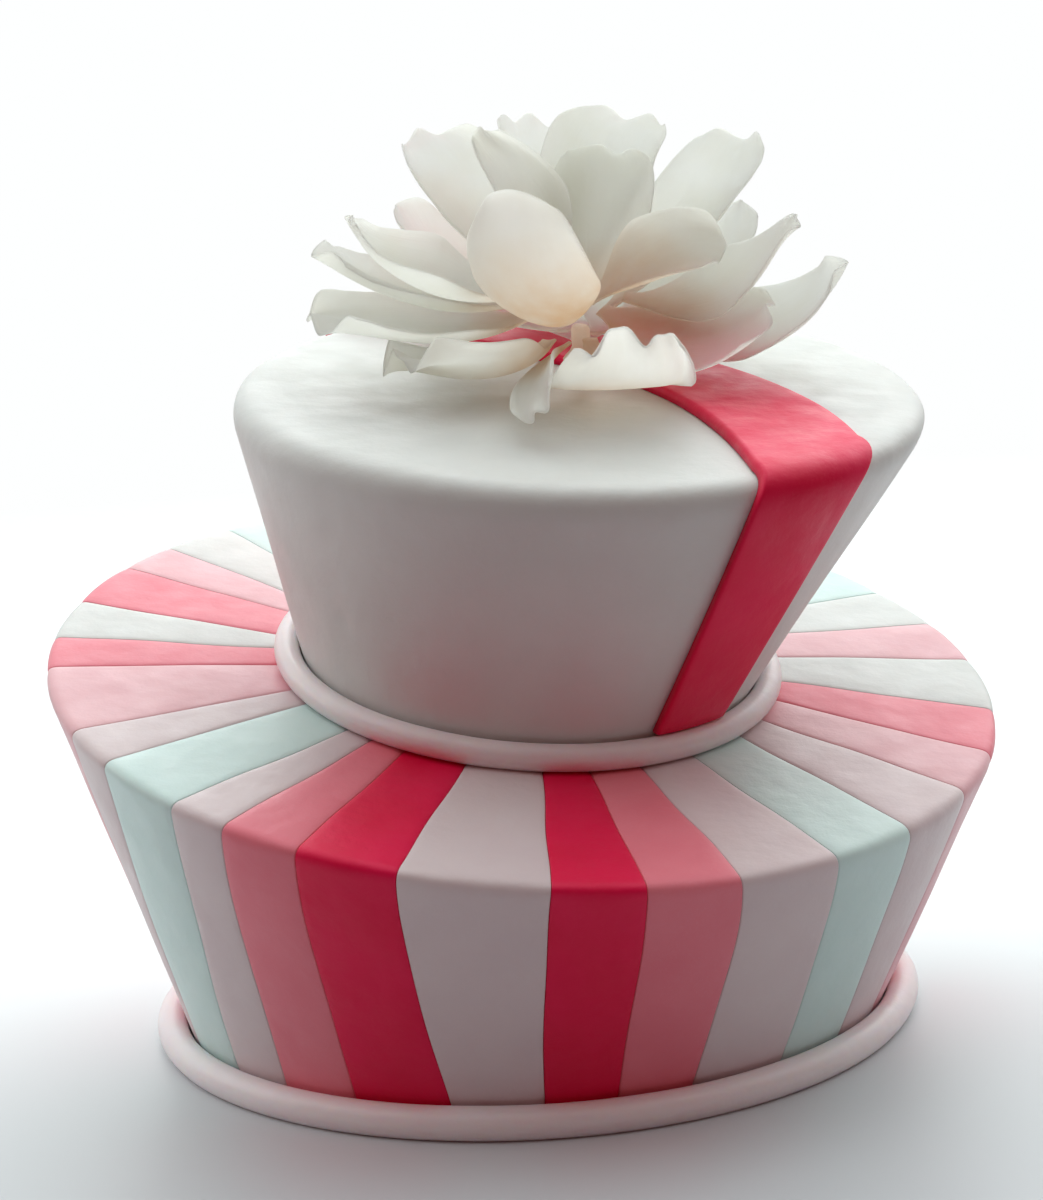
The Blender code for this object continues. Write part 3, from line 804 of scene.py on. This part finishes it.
@dataclass
class Rope:
    """A rolled rope of paste laid against the foot of a tier's wall."""

    name: str
    node: str
    shape: TierShape
    base: Rgb
    base_slope: Pair
    height: float
    radius: float
    tint: Tint = Tint.ROPE_PINK
    flat_half_angle: float = 25.0
    sides: int = 360
    arc_points: int = 30

    def build(self, pantry: Pantry) -> None:
        """Make the rope, flattened below by its own weight."""
        shape = self.shape
        direction = np.arange(self.sides) * 360.0 / self.sides
        flat = math.radians(self.flat_half_angle)
        up = plane_normal(self.base_slope)
        floor = np.asarray(self.base) + self.height * up
        drop = self.radius * math.cos(flat)
        foot, rim = shape.foot(direction, 0.0), shape.rim(direction, 0.0)
        spoke = unit(foot - np.asarray(shape.foot_centre))
        level = (foot - floor) @ up
        raised = foot + (rim - foot) * ((drop - level) / ((rim - foot) @ up))[:, None]
        lean = np.sum(spoke * shape.wall_normal(direction), axis=-1, keepdims=True)
        centre = raised + spoke * (self.radius + FITTING_GAP) / lean
        turn = flat + (2.0 * math.pi - 2.0 * flat) * np.linspace(0.0, 1.0, self.arc_points)
        thin = 1.0 - 0.02 * (1.0 + hand_waves(centre, 21, 25.0, 70.0))
        radius = np.where(
            (turn > flat + 0.2) & (turn < 2.0 * math.pi - flat - 0.2), thin[:, None], 1.0
        )
        radius = (radius * self.radius)[..., None]
        rings = (
            centre[:, None]
            - up * radius * np.cos(turn)[None, :, None]
            - spoke[:, None] * radius * np.sin(turn)[None, :, None]
        )
        piece = MeshWork(self.name).loft(rings, True)
        pantry.finish_piece(piece, self.tint, self.node)


@dataclass
class Ribbon:
    """A wide ribbon of paste folded over the upper tier from front to back."""

    tiers: Tiers
    thickness: float = 3.0
    end_height: float = 8.7
    front_rim: Pair = (-66.5, -46.0)
    front_foot: Pair = (-62.7, -41.9)
    front_heading: Pair = (-0.09, 0.996)
    front_reach: Pair = (104.0, 80.0)
    back_rim: Pair = (138.0, 120.0)
    back_foot: Pair = (140.0, 119.0)
    back_heading: Pair = (0.845, -0.535)
    back_reach: Pair = (76.0, 56.0)
    edge_round: float = 1.0
    wall_steps: int = 26
    bend_steps: int = 14
    top_steps: int = 60

    def side_rows(
        self,
        rims: Pair,
        feet: Pair,
        heading: Pair,
        share: float,
        inset: float,
    ) -> tuple[np.ndarray, np.ndarray]:
        """Return the points up one wall and round its edge, and the way on across the top.

        Args:
            rims: The two edges' directions at the rim.
            feet: The two edges' directions at the foot.
            heading: The way on across the top, seen from above.
            share: The place across the ribbon, from 0 to 1.
            inset: The depth under the tier's face, negative outside it.

        Returns:
            The points and a heading of length one.
        """
        tier = self.tiers.upper
        reach = tier.reach(inset)
        top_centre = np.asarray(tier.rim_centre) - inset * plane_normal(tier.slope)
        up = plane_normal(self.tiers.lower.slope)
        level = self.tiers.on_lower_top(*self.tiers.upper_foot, 0.0)
        rim_direction = rims[0] + (rims[1] - rims[0]) * share
        foot_direction = feet[0] + (feet[1] - feet[0]) * share
        corner, foot = tier.rim(rim_direction, inset), tier.foot(foot_direction, inset)
        first = reach / np.linalg.norm(foot - corner)
        rim_height, foot_height = (corner - level) @ up, (foot - level) @ up
        last = (rim_height - self.end_height) / (rim_height - foot_height)
        rise = tier.slope[0] * heading[0] + tier.slope[1] * heading[1]
        along = unit((heading[0], heading[1], rise))
        crossing = corner + along * reach / (along @ unit(top_centre - corner))
        offset = crossing - top_centre
        top_direction = math.degrees(math.atan2(offset[1], offset[0]))
        turn = (top_direction - rim_direction + 180.0) % 360.0 - 180.0

        def on_wall(parts: np.ndarray) -> np.ndarray:
            """Return the places on the wall at shares of the way down."""
            return tier.wall(rim_direction + (foot_direction - rim_direction) * parts, parts, inset)

        wall = on_wall(np.linspace(last, first, self.wall_steps)[:-1])
        turns = np.linspace(0.0, 1.0, self.bend_steps)
        directions = rim_direction + turn * turns
        bend_corner = tier.rim(directions, inset)
        bend_top = bend_corner + reach * unit(top_centre - bend_corner)
        low = tier.wall(directions, np.full(turns.shape, first), inset)
        turns = turns[:, None]
        bend_wall = on_wall(np.array(first)) * (1.0 - turns) + low * turns
        bend = soft_corner(bend_wall, bend_corner, bend_top, turns)
        return np.concatenate([wall, bend]), along

    def surface(self, shares: np.ndarray, inset: float) -> np.ndarray:
        """Return the ribbon's face at one depth, from its front end to its back end.

        Args:
            shares: Places across the ribbon.
            inset: The depth under the tier's face, negative outside it.

        Returns:
            Points by place across and place along.
        """
        grid = []
        for share in shares:
            front, ahead = self.side_rows(
                self.front_rim, self.front_foot, self.front_heading, share, inset
            )
            back, behind = self.side_rows(
                self.back_rim, self.back_foot, self.back_heading, share, inset
            )
            reach_out = self.front_reach[0] + (self.front_reach[1] - self.front_reach[0]) * share
            reach_back = self.back_reach[0] + (self.back_reach[1] - self.back_reach[0]) * share
            start, end = front[-1], back[-1]
            pulls = start + ahead * reach_out, end + behind * reach_back
            t = np.linspace(0.0, 1.0, self.top_steps)[1:-1, None]
            near = (1.0 - t) ** 3 * start + 3.0 * t * (1.0 - t) ** 2 * pulls[0]
            far = 3.0 * t * t * (1.0 - t) * pulls[1] + t**3 * end
            grid.append(np.concatenate([front, near + far, back[::-1]]))
        return np.array(grid)

    def build(self, pantry: Pantry) -> None:
        """Fold the ribbon over the tier."""
        shares = spaced_shares(38.0, self.edge_round, 22)
        outer = self.surface(shares, -FITTING_GAP - self.thickness)
        under = self.surface(shares, -FITTING_GAP)
        inward = unit(under - outer)
        spans = np.linalg.norm(outer[-1] - outer[0], axis=-1)
        apart = np.minimum(shares, 1.0 - shares)[:, None] * spans
        fall = edge_fall(apart, self.edge_round)
        soft = 0.22 * (1.0 + hand_waves(outer, 31, 25.0, 80.0)) / 2.0
        outer = outer + inward * (fall + soft)[..., None]
        piece = MeshWork("folded_ribbon").sheet(outer[::-1], under[::-1])
        pantry.finish_piece(piece, Tint.HOT_PINK, "ribbon_band")


@dataclass(frozen=True)
class Petal:
    """One petal: where it points, how it rises, curls and cups, and how its rim is frilled."""

    name: str
    heading: float
    pitch_base: float
    pitch_tip: float
    length: float
    width: float
    cup: float
    roll: float
    curl: float
    swerve: float
    rise: float
    ring: float
    ruffle: float
    phase: float
    point: float
    broad: float
    frill: float = 0.7
    frills: float = 1.6
    lip: float = 0.7

    def middle(self, heart: Rgb, rows: int, columns: int) -> np.ndarray:
        """Return the middle surface as a grid of points, base row first.

        Args:
            heart: The point that all petals spring from.
            rows: The number of points along.
            columns: The number of points across.

        Returns:
            Points by row and column.
        """
        fine = 161
        along = np.linspace(0.0, 1.0, fine)
        bend = self.curl * np.clip((along - 0.7) / 0.3, 0.0, 1.0) ** 2
        pitch = np.radians(self.pitch_base + (self.pitch_tip - self.pitch_base) * along + bend)
        heading = np.radians(self.heading + self.swerve * along)
        level = np.cos(pitch)
        ahead = np.stack([level * np.cos(heading), level * np.sin(heading), np.sin(pitch)], axis=1)
        turn = math.radians(self.heading)
        base = np.array(heart) + np.array(
            [self.ring * math.cos(turn), self.ring * math.sin(turn), self.rise]
        )
        steps = np.cumsum((ahead[1:] + ahead[:-1]) / 2, axis=0) / (fine - 1)
        spine = base + np.concatenate([np.zeros((1, 3)), steps]) * self.length
        left = np.stack([-np.sin(heading), np.cos(heading), np.zeros(fine)], axis=1)
        inside = np.cross(ahead, left)
        roll = math.radians(self.roll)
        side = left * math.cos(roll) + inside * math.sin(roll)
        face = inside * math.cos(roll) - left * math.sin(roll)

        up = np.linspace(0.0, 1.0, rows)[:, None] * np.ones(columns)
        lines = np.sin(np.linspace(-0.5, 0.5, columns) * math.pi * 0.9) / math.sin(math.pi * 0.45)
        across = lines * np.ones((rows, 1))
        corner_drop = 0.10 * (1.0 - 0.8 * self.point) * np.abs(across) ** 1.8
        place = up * (1.0 - corner_drop * up**2)
        spread = 0.11 + 0.89 * ease(up / self.broad) ** 0.9
        tip_share = 0.70 - 0.5 * self.point
        tip_start = 0.62 - 0.2 * self.point
        narrowing = np.clip((up - tip_start) / (1.0 - tip_start), 0.0, 1.0)
        rounded = np.sqrt(1.0 - (1.0 - tip_share**2) * narrowing**2)
        pointed = 1.0 - (1.0 - tip_share) * narrowing
        spread = spread * ((1.0 - self.point) * rounded + self.point * pointed)
        half_width = self.width / 2 * spread
        bow = math.radians(self.cup) * (0.55 + 0.45 * np.sin(np.pi * np.clip(up, 0.0, 0.85)))
        sideways = half_width * np.sin(across * bow) / bow
        depth = half_width * (1.0 - np.cos(across * bow)) / bow
        edge = np.clip(np.maximum(np.abs(across), (up - 0.35) / 0.65), 0.0, 1.0)
        edge = edge**3 * ease((up - 0.25) / 0.5)
        wave = np.sin(2 * np.pi * (across * np.clip(up, 0.5, 1.0) + self.phase))
        depth = depth + self.ruffle * edge * wave
        rim_place = across * (0.6 + 0.4 * up) + 0.8 * np.sign(across) * (1.0 - up) * across**2
        fine_wave = np.sin(2 * np.pi * self.frills * (rim_place + self.phase) / 2.0)
        fine_wave = fine_wave + 0.45 * np.sin(2 * np.pi * self.frills * 1.07 * rim_place + 1.3)
        depth = depth + self.frill * edge**2 * fine_wave - self.lip * edge**5

        index = place * (fine - 1)
        low = np.clip(index.astype(int), 0, fine - 2)
        rest = (index - low)[..., None]

        def at(values: np.ndarray) -> np.ndarray:
            """Return values between the fine steps of the spine."""
            return values[low] * (1.0 - rest) + values[low + 1] * rest

        return at(spine) + at(side) * sideways[..., None] + at(face) * depth[..., None]


@dataclass
class Flower:
    """The open flower of sugar paste on top, with the cone that it is set on."""

    heart: Rgb = (27.0, 16.0, 216.0)
    thickness: float = 1.3
    rim_thickness: float = 0.55
    rows: int = 54
    columns: int = 46
    petals: tuple[Petal, ...] = (
        Petal(
            "inner_right", -23.5, 35, 7.5, 46.5, 36, 55.5, 40, -32, 25, 7, 4.5, 0.6, 0.2, 0.0, 0.52,
            frill=0.5, frills=1.2,
        ),
        Petal(
            "inner_left", 243, -13.5, 123.5, 64, 52, 42, -5, -30, -16, 2, 11.5, 0.4, 0.0, 0.0, 0.48,
            frill=0.25, frills=1.2,
        ),
        Petal(
            "inner_back_left", 117.5, 82, 30, 65, 23.5, 32.5, -34.5, 32.5,
            30, 9, 10.5, 0.8, 0.25, 0.5, 0.52,
        ),
        Petal(
            "inner_back", 61, 69, 43, 62.5, 35, 25, 9, -29, 21.5, 6.5, 7.5, 0.8, 0.0, 0.0, 0.52,
            frill=0.6, frills=1.4,
        ),
        Petal(
            "back_right_far", 78.5, 69, 12.5, 92, 41, 44.5, 14, 2,
            -18, 8, 12, 1.3, 0.6, 0.0, 0.52,
        ),
        Petal(
            "back_left_far", 102, 63, 9, 98, 30, 51.5, 10.5, 23.5,
            -11.5, 9, 13.5, 1.3, 0.4, 0.0, 0.52,
        ),
        Petal(
            "back_left_tall", 120.5, 34, 45, 98, 38.5, 44.5, -13.5, -23.5,
            3, 5.5, 12, 1.3, 0.2, 0.0, 0.52,
        ),
        Petal(
            "back_right_tall", 29.5, 28, 52.5, 89.5, 35.5, 50, 12.5, -34,
            28, 4, 10.5, 1.3, 0.8, 0.0, 0.52,
        ),
        Petal(
            "right_point", -7, -17, 64, 65.5, 41, 13, 34.5, -27.5,
            -30, 8, 14, 0.6, 0.1, 0.7, 0.6,
        ),
        Petal(
            "left_point", 180, -10, 56.5, 69, 59, 51, -16.5, 33,
            15.5, 11, 14, 0.6, 0.1, 0.8, 0.6,
        ),
        Petal(
            "back_left_low", 126, -0.5, 56.5, 81.5, 48, 38, 6, 9.5,
            8, 5, 15, 1.2, 0.5, 0.0, 0.55,
        ),
        Petal("back_right_low", 34, 0, 66, 64, 46, 20, 0, 4, -8, 3, 14, 1.2, 0.7, 0.0, 0.55),
        Petal(
            "left_mid", 178.5, -14.5, 44, 78.5, 51, 37.5, -13.5, 5,
            18.5, 10, 9.5, 1.2, 0.6, 0.0, 0.52,
            frill=1.1, frills=2.0,
        ),
        Petal("right_front", 333.5, -28, 20, 61, 55, 7, 26, 32, -8, 4.5, 7.5, 1.2, 0.2, 0.0, 0.52),
        Petal(
            "right_far", 2.5, -23.5, 48, 77, 59, 9, 18.5, 33.5, -20.5, -1, 14, 1.3, 0.0, 0.0, 0.52,
            frill=1.3, frills=1.6,
        ),
        Petal(
            "left_low", 197, -20.5, 29, 76, 61.5, 35.5, -10.5, -25.5,
            2.5, 5, 13.5, 1.3, 0.3, 0.0, 0.52,
            frill=1.4, frills=2.2,
        ),
        Petal(
            "front_tip", 250, -6.5, -17.5, 77, 18.5, 50.5, 37.5, 10,
            19.5, -5, 13.5, 0.8, 0.3, 0.0, 0.72,
        ),
        Petal("rear_right", 58.5, 5, 29, 70, 48, 28, 4, 0, 0.5, -3.5, 9, 1.3, 0.15, 0.0, 0.52),
        Petal(
            "rear_left", 123, 1.5, 29, 71.5, 47.5, 21.5, 0.5, -7,
            0, -2, 8.5, 1.3, 0.85, 0.0, 0.52,
        ),
        Petal("rear_middle", 85, 4.5, 23, 76.5, 50.5, 18, 0, 2, -2, -6, 10, 1.3, 0.55, 0.0, 0.52),
        Petal(
            "front_left", 227, -32.5, 35, 63, 54, 51.5, 2, -22, -26, -4, 15, 1.3, 0.1, 0.0, 0.52,
            frill=2.6, frills=2.1,
        ),
        Petal(
            "front_right", 280.5, -47, 58.5, 75.5, 44, 6, -1.5, -11,
            -7.5, -4, 12, 1.3, 0.45, 0.0, 0.6,
            frill=2.6, frills=2.1,
        ),
    )

    def build_petal(self, petal: Petal, pantry: Pantry) -> None:
        """Make one petal, thickest along its middle and rolled thin at its rim."""
        middle = petal.middle(self.heart, self.rows, self.columns)
        normal = unit(np.cross(np.gradient(middle, axis=1), np.gradient(middle, axis=0)))
        across = np.abs(np.linspace(-1.0, 1.0, self.columns))[None, :]
        up = np.linspace(0.0, 1.0, self.rows)[:, None]
        edge = np.maximum(across, np.clip((up - 0.3) / 0.7, 0.0, 1.0)) ** 2.5
        half = (self.thickness + (self.rim_thickness - self.thickness) * edge)[..., None] / 2.0
        piece = MeshWork("sugar_petal_" + petal.name).sheet(
            middle + normal * half, middle - normal * half
        )
        pantry.finish_piece(piece, Tint.PETAL_WHITE, "petal_" + petal.name)

    def build_cone(self, tiers: Tiers, ribbon: Ribbon, pantry: Pantry) -> None:
        """Make the cone of paste that the petals are set on."""
        x, y, top = self.heart
        shape = tiers.upper
        cx, cy, cz = shape.rim_centre
        level = cz + shape.slope[0] * (x - cx) + shape.slope[1] * (y - cy)
        foot = level + (ribbon.thickness + 2.0 * FITTING_GAP) / plane_normal(shape.slope)[2]
        turn = 2.0 * math.pi * np.arange(48) / 48
        rings = []
        for radius, height in (
            (5.6, foot), (6.0, foot + 0.5), (5.2, foot + 1.6), (3.8, foot + 3.0),
            (3.0, foot + 4.6), (3.0, top - 1.2), (2.6, top - 0.4), (1.9, top),
        ):
            dx, dy = radius * np.cos(turn), radius * np.sin(turn)
            lift = shape.slope[0] * dx + shape.slope[1] * dy
            rings.append(np.stack([x + dx, y + dy, height + lift], axis=-1))
        piece = MeshWork("flower_cone").loft(np.array(rings), False)
        pantry.finish_piece(piece, Tint.PETAL_WHITE, "flower_heart")

    def build(self, tiers: Tiers, ribbon: Ribbon, pantry: Pantry) -> None:
        """Make the cone and all petals."""
        self.build_cone(tiers, ribbon, pantry)
        for petal in self.petals:
            self.build_petal(petal, pantry)


@dataclass(frozen=True)
class Softbox:
    """One large soft lamp."""

    name: str
    place: Rgb
    size: Pair
    watts: float
    colour: Rgb = (1.0, 1.0, 1.0)

    def build(self, target: Rgb) -> None:
        """Hang the lamp so that it faces the target."""
        lamp = bpy.data.lights.new(self.name, "AREA")
        lamp.shape = "RECTANGLE"
        lamp.size, lamp.size_y = self.size
        lamp.energy = self.watts
        lamp.color = self.colour
        holder = bpy.data.objects.new(self.name, lamp)
        bpy.context.scene.collection.objects.link(holder)
        way = Vector(target) - Vector(self.place)
        holder.matrix_world = (
            Matrix.Translation(self.place) @ way.to_track_quat("-Z", "Y").to_matrix().to_4x4()
        )


@dataclass
class Studio:
    """A pale floor with painted shade in front, soft light mostly from behind, and the camera."""

    camera_place: Rgb = (-0.01356, -0.77013, 0.26065)
    yaw: float = -0.0214
    pitch: float = -0.166
    roll: float = 0.0595
    lens: float = 74.16
    floor_colour: Rgb = (0.80, 0.85, 0.87)
    # The floor's grey front tone is painted shade, where the cake's shade falls in front of it.
    floor_front_painted_shade: Rgb = (0.40, 0.41, 0.44)
    painted_shade_span: Pair = (-0.34, 0.06)
    floor_radius: float = 1.8
    floor_fade: Pair = (0.35, 1.5)
    backdrop: Rgb = (0.99, 1.0, 1.0)
    sky_back: Rgb = (1.42, 1.54, 1.52)
    sky_front: Rgb = (0.12, 0.03, 0.02)
    brightest_way: Rgb = (0.0, 0.64, 0.77)
    sky_span: Pair = (-0.05, 0.9)
    boxes: tuple[Softbox, ...] = (
        Softbox("window_behind", (0.4, 1.3, 1.3), (2.0, 1.4), 14.0),
        Softbox("window_left", (-1.5, 0.35, 0.75), (0.9, 0.9), 3.0),
    )

    def build_camera(self) -> None:
        """Set up the camera at the picture's viewpoint."""
        data = bpy.data.cameras.new("view")
        data.lens = self.lens
        data.sensor_width = 36.0
        data.clip_start, data.clip_end = 0.05, 50.0
        holder = bpy.data.objects.new("view", data)
        bpy.context.scene.collection.objects.link(holder)
        turn = (
            Matrix.Rotation(self.yaw, 3, "Z")
            @ Matrix.Rotation(self.pitch, 3, "X")
            @ Matrix.Rotation(self.roll, 3, "Y")
            @ Matrix.Rotation(math.pi / 2.0, 3, "X")
        )
        holder.matrix_world = Matrix.Translation(self.camera_place) @ turn.to_4x4()
        bpy.context.scene.camera = holder

    def build_floor(self) -> None:
        """Lay the pale floor, a disc made greyer in front by painted shade, which fades into the
        backdrop.
        """
        turns = 2.0 * math.pi * np.arange(128) / 128
        corners = [
            (self.floor_radius * math.cos(turn), self.floor_radius * math.sin(turn), 0.0)
            for turn in turns
        ]
        mesh = bpy.data.meshes.new("floor")
        mesh.from_pydata(corners, [], [tuple(range(len(corners)))])
        floor = bpy.data.objects.new("floor", mesh)
        bpy.context.scene.collection.objects.link(floor)
        bench = NodeBench.start("floor_paper")
        where = bench.place()
        split = bench.add("ShaderNodeSeparateXYZ")
        bench.join(where, split.inputs["Vector"])
        # Painted shade: the floor turns greyer towards the front. It stands in for the shade in
        # front of the cake and dims the light thrown back onto the cake's front walls.
        away = bench.spread(split.outputs["Y"], self.painted_shade_span, (0.0, 1.0))
        tone = bench.blend(away, self.floor_front_painted_shade, self.floor_colour)
        bench.join(tone, bench.shader.inputs["Base Color"])
        bench.shader.inputs["Roughness"].default_value = 0.45
        length = bench.add("ShaderNodeVectorMath")
        length.operation = "LENGTH"
        bench.join(where, length.inputs[0])
        fade = bench.spread(length.outputs["Value"], self.floor_fade, (0.0, 1.0))
        clear, mix = bench.add("ShaderNodeBsdfTransparent"), bench.add("ShaderNodeMixShader")
        bench.join(fade, mix.inputs[0])
        bench.join(bench.shader.outputs["BSDF"], mix.inputs[1])
        bench.join(clear.outputs["BSDF"], mix.inputs[2])
        bench.show(mix.outputs["Shader"])
        mesh.materials.append(bench.material)

    def build_sky(self) -> None:
        """Light the surroundings, bright behind the cake and dim and warm in front of it."""
        world = bpy.data.worlds.new("surroundings")
        world.use_nodes = True
        tree = world.node_tree
        source = tree.nodes.new("ShaderNodeTexCoord")
        aim = tree.nodes.new("ShaderNodeVectorMath")
        spread = tree.nodes.new("ShaderNodeMapRange")
        glow, shown = tree.nodes.new("ShaderNodeMix"), tree.nodes.new("ShaderNodeMix")
        rays = tree.nodes.new("ShaderNodeLightPath")
        aim.operation = "DOT_PRODUCT"
        aim.inputs[1].default_value = self.brightest_way
        spread.interpolation_type = "SMOOTHSTEP"
        spread.inputs["From Min"].default_value = self.sky_span[0]
        spread.inputs["From Max"].default_value = self.sky_span[1]
        for mix, low in ((glow, self.sky_front), (shown, self.sky_back)):
            mix.data_type = "RGBA"
            mix.inputs[6].default_value = (*low, 1.0)
        glow.inputs[7].default_value = (*self.sky_back, 1.0)
        shown.inputs[7].default_value = (*self.backdrop, 1.0)
        tree.links.new(source.outputs["Generated"], aim.inputs[0])
        tree.links.new(aim.outputs["Value"], spread.inputs["Value"])
        tree.links.new(spread.outputs["Result"], glow.inputs[0])
        tree.links.new(rays.outputs["Is Camera Ray"], shown.inputs[0])
        tree.links.new(glow.outputs[2], shown.inputs[6])
        tree.links.new(shown.outputs[2], tree.nodes["Background"].inputs["Color"])
        bpy.context.scene.world = world

    def build(self) -> None:
        """Set up the whole studio."""
        self.build_camera()
        self.build_floor()
        self.build_sky()
        for box in self.boxes:
            box.build((0.01, 0.0, 0.13))
        bpy.context.scene.view_settings.view_transform = "Standard"
        LOG.info("studio: %d softboxes", len(self.boxes))


def main() -> None:
    """Build the studio and every piece of the cake."""
    Studio().build()
    pantry = Pantry()
    pantry.stock()
    tiers = Tiers()
    TierBody("lower_cake", "lower_tier", tiers.lower, tiers.core_inset, Tint.WHITE).build(pantry)
    StripCladding(tiers).build(pantry)
    Rope(
        "rolled_rope_lower", "lower_rope", tiers.lower, (0.0, 0.0, 0.0), (0.0, 0.0), 0.0, 4.9
    ).build(pantry)
    TierBody(
        "iced_cake_upper", "upper_tier", tiers.upper, 0.0, Tint.WHITE, dimple=(-49.8, -61.6, 139.2)
    ).build(pantry)
    stand = tuple(tiers.on_lower_top(*tiers.upper_foot, 0.0))
    Rope(
        "rolled_rope_upper", "upper_rope", tiers.upper, stand, tiers.lower.slope, FITTING_GAP, 4.1
    ).build(pantry)
    ribbon = Ribbon(tiers)
    ribbon.build(pantry)
    Flower().build(tiers, ribbon, pantry)


if __name__ == "__main__":
    main()
